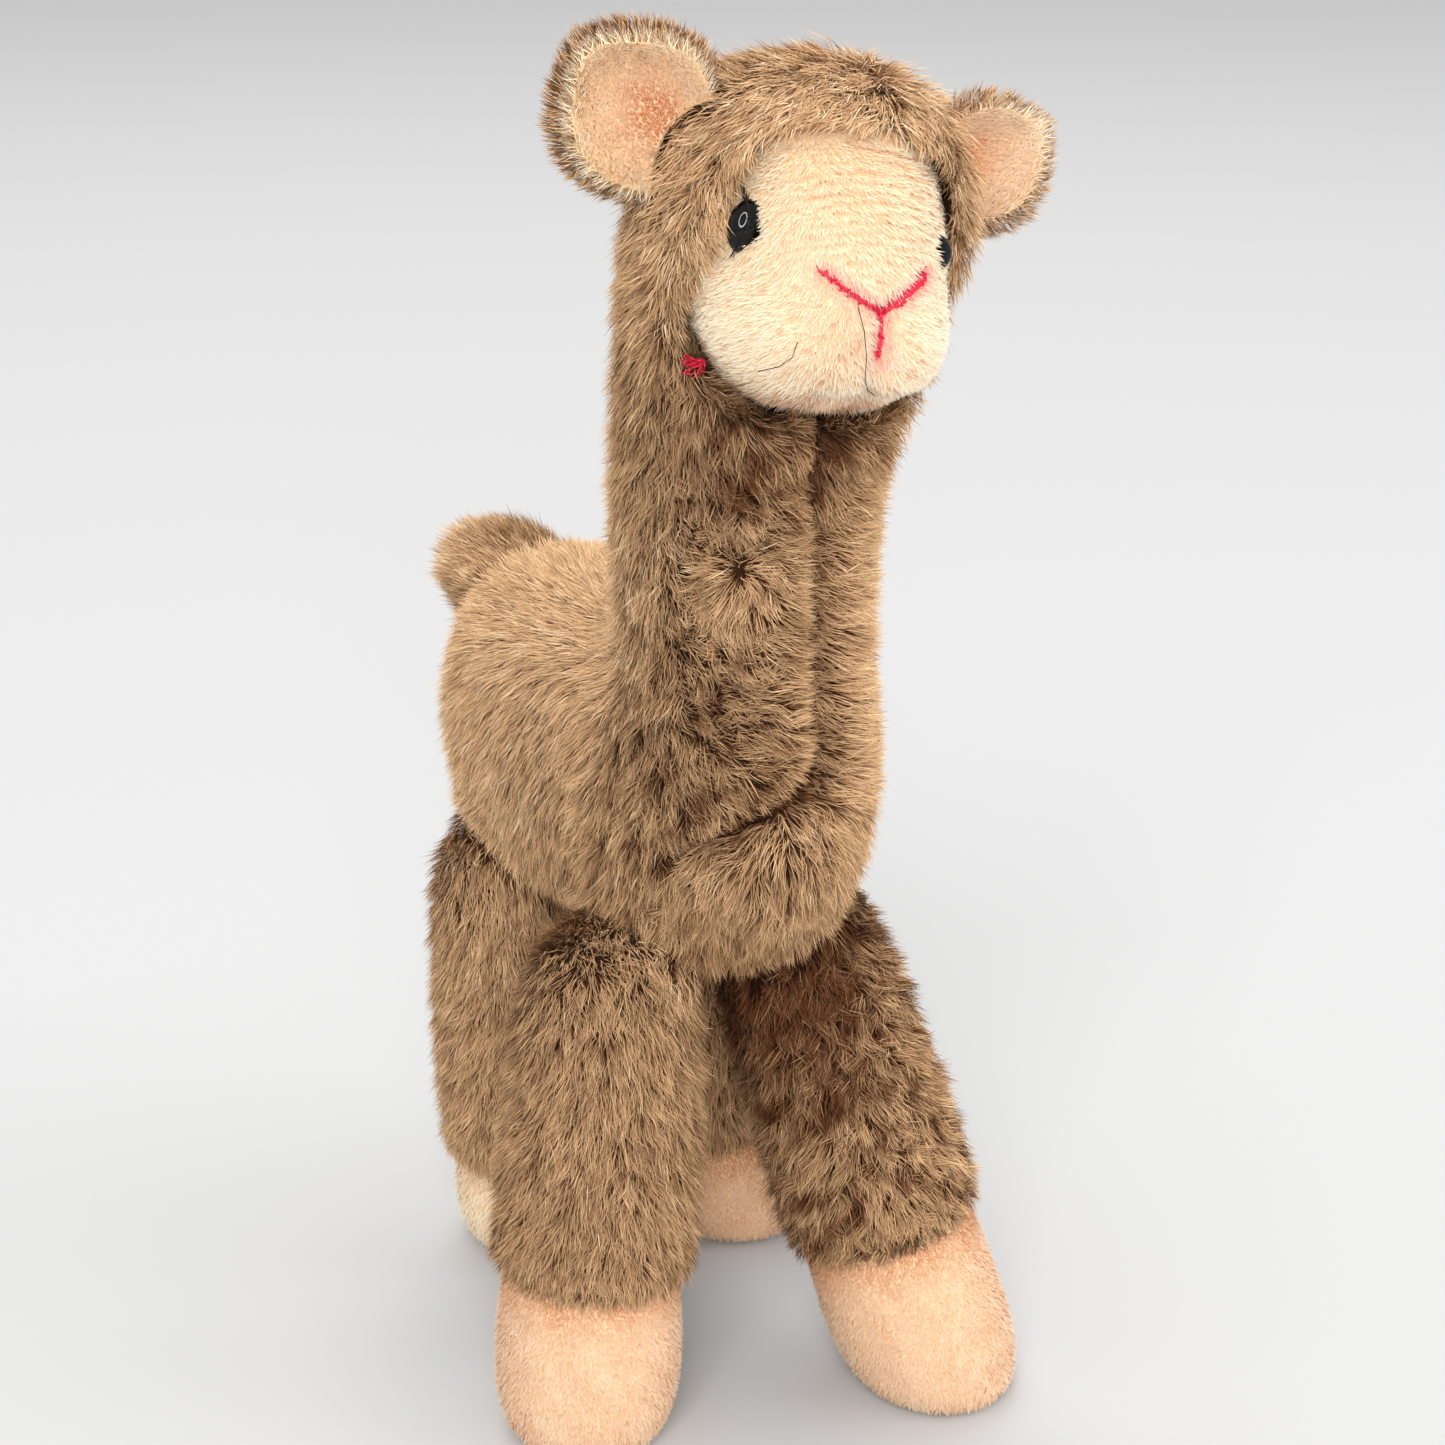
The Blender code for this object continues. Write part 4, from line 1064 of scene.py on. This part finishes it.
def noseThreads():
    # overlapping short stitches along the nose and the mouth
    rng = np.random.default_rng(101)
    stitches = []
    reaches, counts, spreads = (2.6, 2.6, 2.2), (34, 64, 24), (0.26, 0.55, 0.3)
    for path, reach, count, spread in zip(nosePaths(), reaches, counts, spreads):
        for step in np.linspace(0, len(path) - 1, count).astype(int):
            ahead = unit(path[min(step + 3, len(path) - 1)] - path[max(step - 3, 0)])
            ahead = turns((math.degrees(rng.normal(0, 0.35)), "Z"))[:2, :2] @ ahead
            middle = path[step] + rng.normal(0, spread, 2)
            line = []
            for share, lift in ((-0.5, -0.3), (-0.25, 0.55), (0.0, 0.85), (0.25, 0.55), (0.5, -0.3)):
                x, z = middle + ahead * share * reach
                line.append(onFace(x, z, lift + rng.normal(0, 0.08)))
            stitches.append(np.array(line))
    return stitches


addPiece(threadCurve("noseThread", noseThreads(), 0.2, pinkThread), ["nose_stitch"])


def cheekThreads():
    # a small knot of loose thread ends
    rng = np.random.default_rng(102)
    low, high = (np.array(corner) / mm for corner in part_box("cheek_stitch"))
    centre = (low + high) / 2 + row(1.2, -1.0, 1.2)
    outward = unit(centre - headCentre + row(0.0, 0.0, 20.0))
    lines = []
    for _ in range(26):
        aim = unit(rng.normal(size=3) + outward * 0.9)
        curve = unit(rng.normal(size=3) + outward * 0.6)
        start = centre + rng.normal(0, 0.6, 3) - outward
        curl = start + aim * 2.0 + curve * 0.9
        lines.append(np.array([start, start + aim * 1.2, curl, start + aim * 1.9 + curve * 2.0]))
    return lines


addPiece(threadCurve("cheekThread", cheekThreads(), 0.16, pinkThread), ["cheek_stitch"])


fuzz = {"count": 34, "arc": (-1.1, 1.35), "half": (2.9, 5.1), "below": 2.4, "shift": 1.4}


def looseHairs():
    # two long hairs caught in the velour, and the dark fuzz at the right eye's front edge
    strayHair = ((-11.6, -15.6), (-12.0, -18.4), (-13.6, -20.4), (-16.0, -22.0))
    longHair = ((-1.4, -8.6), (0.4, -12.6), (1.6, -17.4), (2.4, -21.4), (5.2, -23.6), (8.0, -24.6))
    lines = [np.array([onFace(x, z, 1.5) for x, z in hair]) for hair in (strayHair, longHair)]
    pole, outward, up, across = eyePlaces["right"]
    rng = np.random.default_rng(103)
    for turn in np.linspace(*fuzz["arc"], fuzz["count"]) + rng.normal(0, 0.05, fuzz["count"]):
        rim = across * math.cos(turn) * fuzz["half"][0] + up * math.sin(turn) * fuzz["half"][1]
        start = pole - outward * fuzz["below"] + rim - across * fuzz["shift"]
        aim = unit(unit(rim) + outward * 0.55 + up * rng.normal(0.1, 0.25))
        lines.append(np.array([start, start + aim * 1.2, start + aim * rng.uniform(1.8, 3.4) + up * 0.2]))
    return lines


addPiece(threadCurve("looseHairs", looseHairs(), 0.09, darkHair))
print("stitches made")

# Floor, lights and camera

def makeFloor():
    reach = 8.0
    mesh = bpy.data.meshes.new("floor")
    corners = [(-reach, -reach, 0), (reach, -reach, 0), (reach, reach, 0), (-reach, reach, 0)]
    mesh.from_pydata(corners, [], [(0, 1, 2, 3)])
    pale = {"Base Color": colour(197, 197, 197), "Roughness": 0.9, "Specular IOR Level": 0.1}
    mesh.materials.append(newMaterial("paleFloor", pale)[0])
    floor = addObject("floor", mesh)


makeFloor()

world = bpy.data.worlds.new("studio")
bpy.context.scene.world = world
world.use_nodes = True
setInputs(world.node_tree.nodes["Background"], {"Color": (1.0, 1.0, 1.0, 1.0), "Strength": 0.85})

lamps = {
    "key": {"place": (-1.6, -2.1, 2.4), "size": 1.4, "power": 54.0},
    "front": {"place": (-1.0, -2.3, 0.9), "size": 0.8, "power": 20.0},
    "fill": {"place": (2.3, -1.7, 1.0), "size": 1.8, "power": 30.0},
    "top": {"place": (0.3, 1.2, 3.0), "size": 1.8, "power": 38.0},
}
aim = Vector((0.0, 0.0, 0.16))
for title, lamp in lamps.items():
    light = bpy.data.lights.new(title, "AREA")
    light.energy = lamp["power"]
    light.size = lamp["size"]
    source = addObject(title, light)
    source.location = lamp["place"]
    source.rotation_euler = (aim - Vector(lamp["place"])).to_track_quat("-Z", "Y").to_euler()
    source.visible_glossy = False

shot = {"azimuth": -28.0, "elevation": 20.0, "distance": 600.0, "target": (5.6, 30.0, 155.0), "lens": 67.27}
lens = bpy.data.cameras.new("camera")
lens.lens = shot["lens"]
lens.sensor_width = 36.0
camera = addObject("camera", lens)
azimuth, elevation = math.radians(shot["azimuth"]), math.radians(shot["elevation"])
level = math.cos(elevation)
backward = Vector((math.sin(azimuth) * level, -math.cos(azimuth) * level, math.sin(elevation)))
camera.location = (Vector(shot["target"]) + Vector(patternOrigin) + backward * shot["distance"]) * mm
camera.rotation_euler = backward.to_track_quat("Z", "Y").to_euler()
bpy.context.scene.camera = camera
bpy.context.scene.view_settings.view_transform = "Standard"


def makeRingLamp(pole, outward, up):
    # its image is the small ring on the near eye
    ring = {"distance": 0.5, "radius": 0.2, "tube": 0.02, "strength": 30.0, "outward": 0.12, "up": 0.16}
    view = unit(np.array(camera.location) - pole * mm)
    normal = unit(view + outward * ring["outward"] + up * ring["up"])
    way = normal * 2 * (normal @ view) - view
    bpy.ops.mesh.primitive_torus_add(major_radius=ring["radius"], minor_radius=ring["tube"],
                                     location=tuple(pole * mm + way * ring["distance"]))
    lamp = bpy.context.object
    lamp.name = "ringLamp"
    lamp.rotation_euler = Vector(way).to_track_quat("Z", "Y").to_euler()
    glow = {"Base Color": (0.0, 0.0, 0.0, 1.0), "Emission Color": (1.0, 1.0, 1.0, 1.0),
            "Emission Strength": ring["strength"]}
    lamp.data.materials.append(newMaterial("ringGlow", glow)[0])
    lamp.visible_camera = False
    lamp.visible_diffuse = False
    lamp.visible_shadow = False


makeRingLamp(*eyePlaces["right"][:3])

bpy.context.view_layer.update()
total = 0
for piece in bpy.data.objects:
    if piece.type == "MESH" and piece.name not in nodes:
        total += sum(len(face.vertices) - 2 for face in piece.data.polygons)
print("triangles:", total)
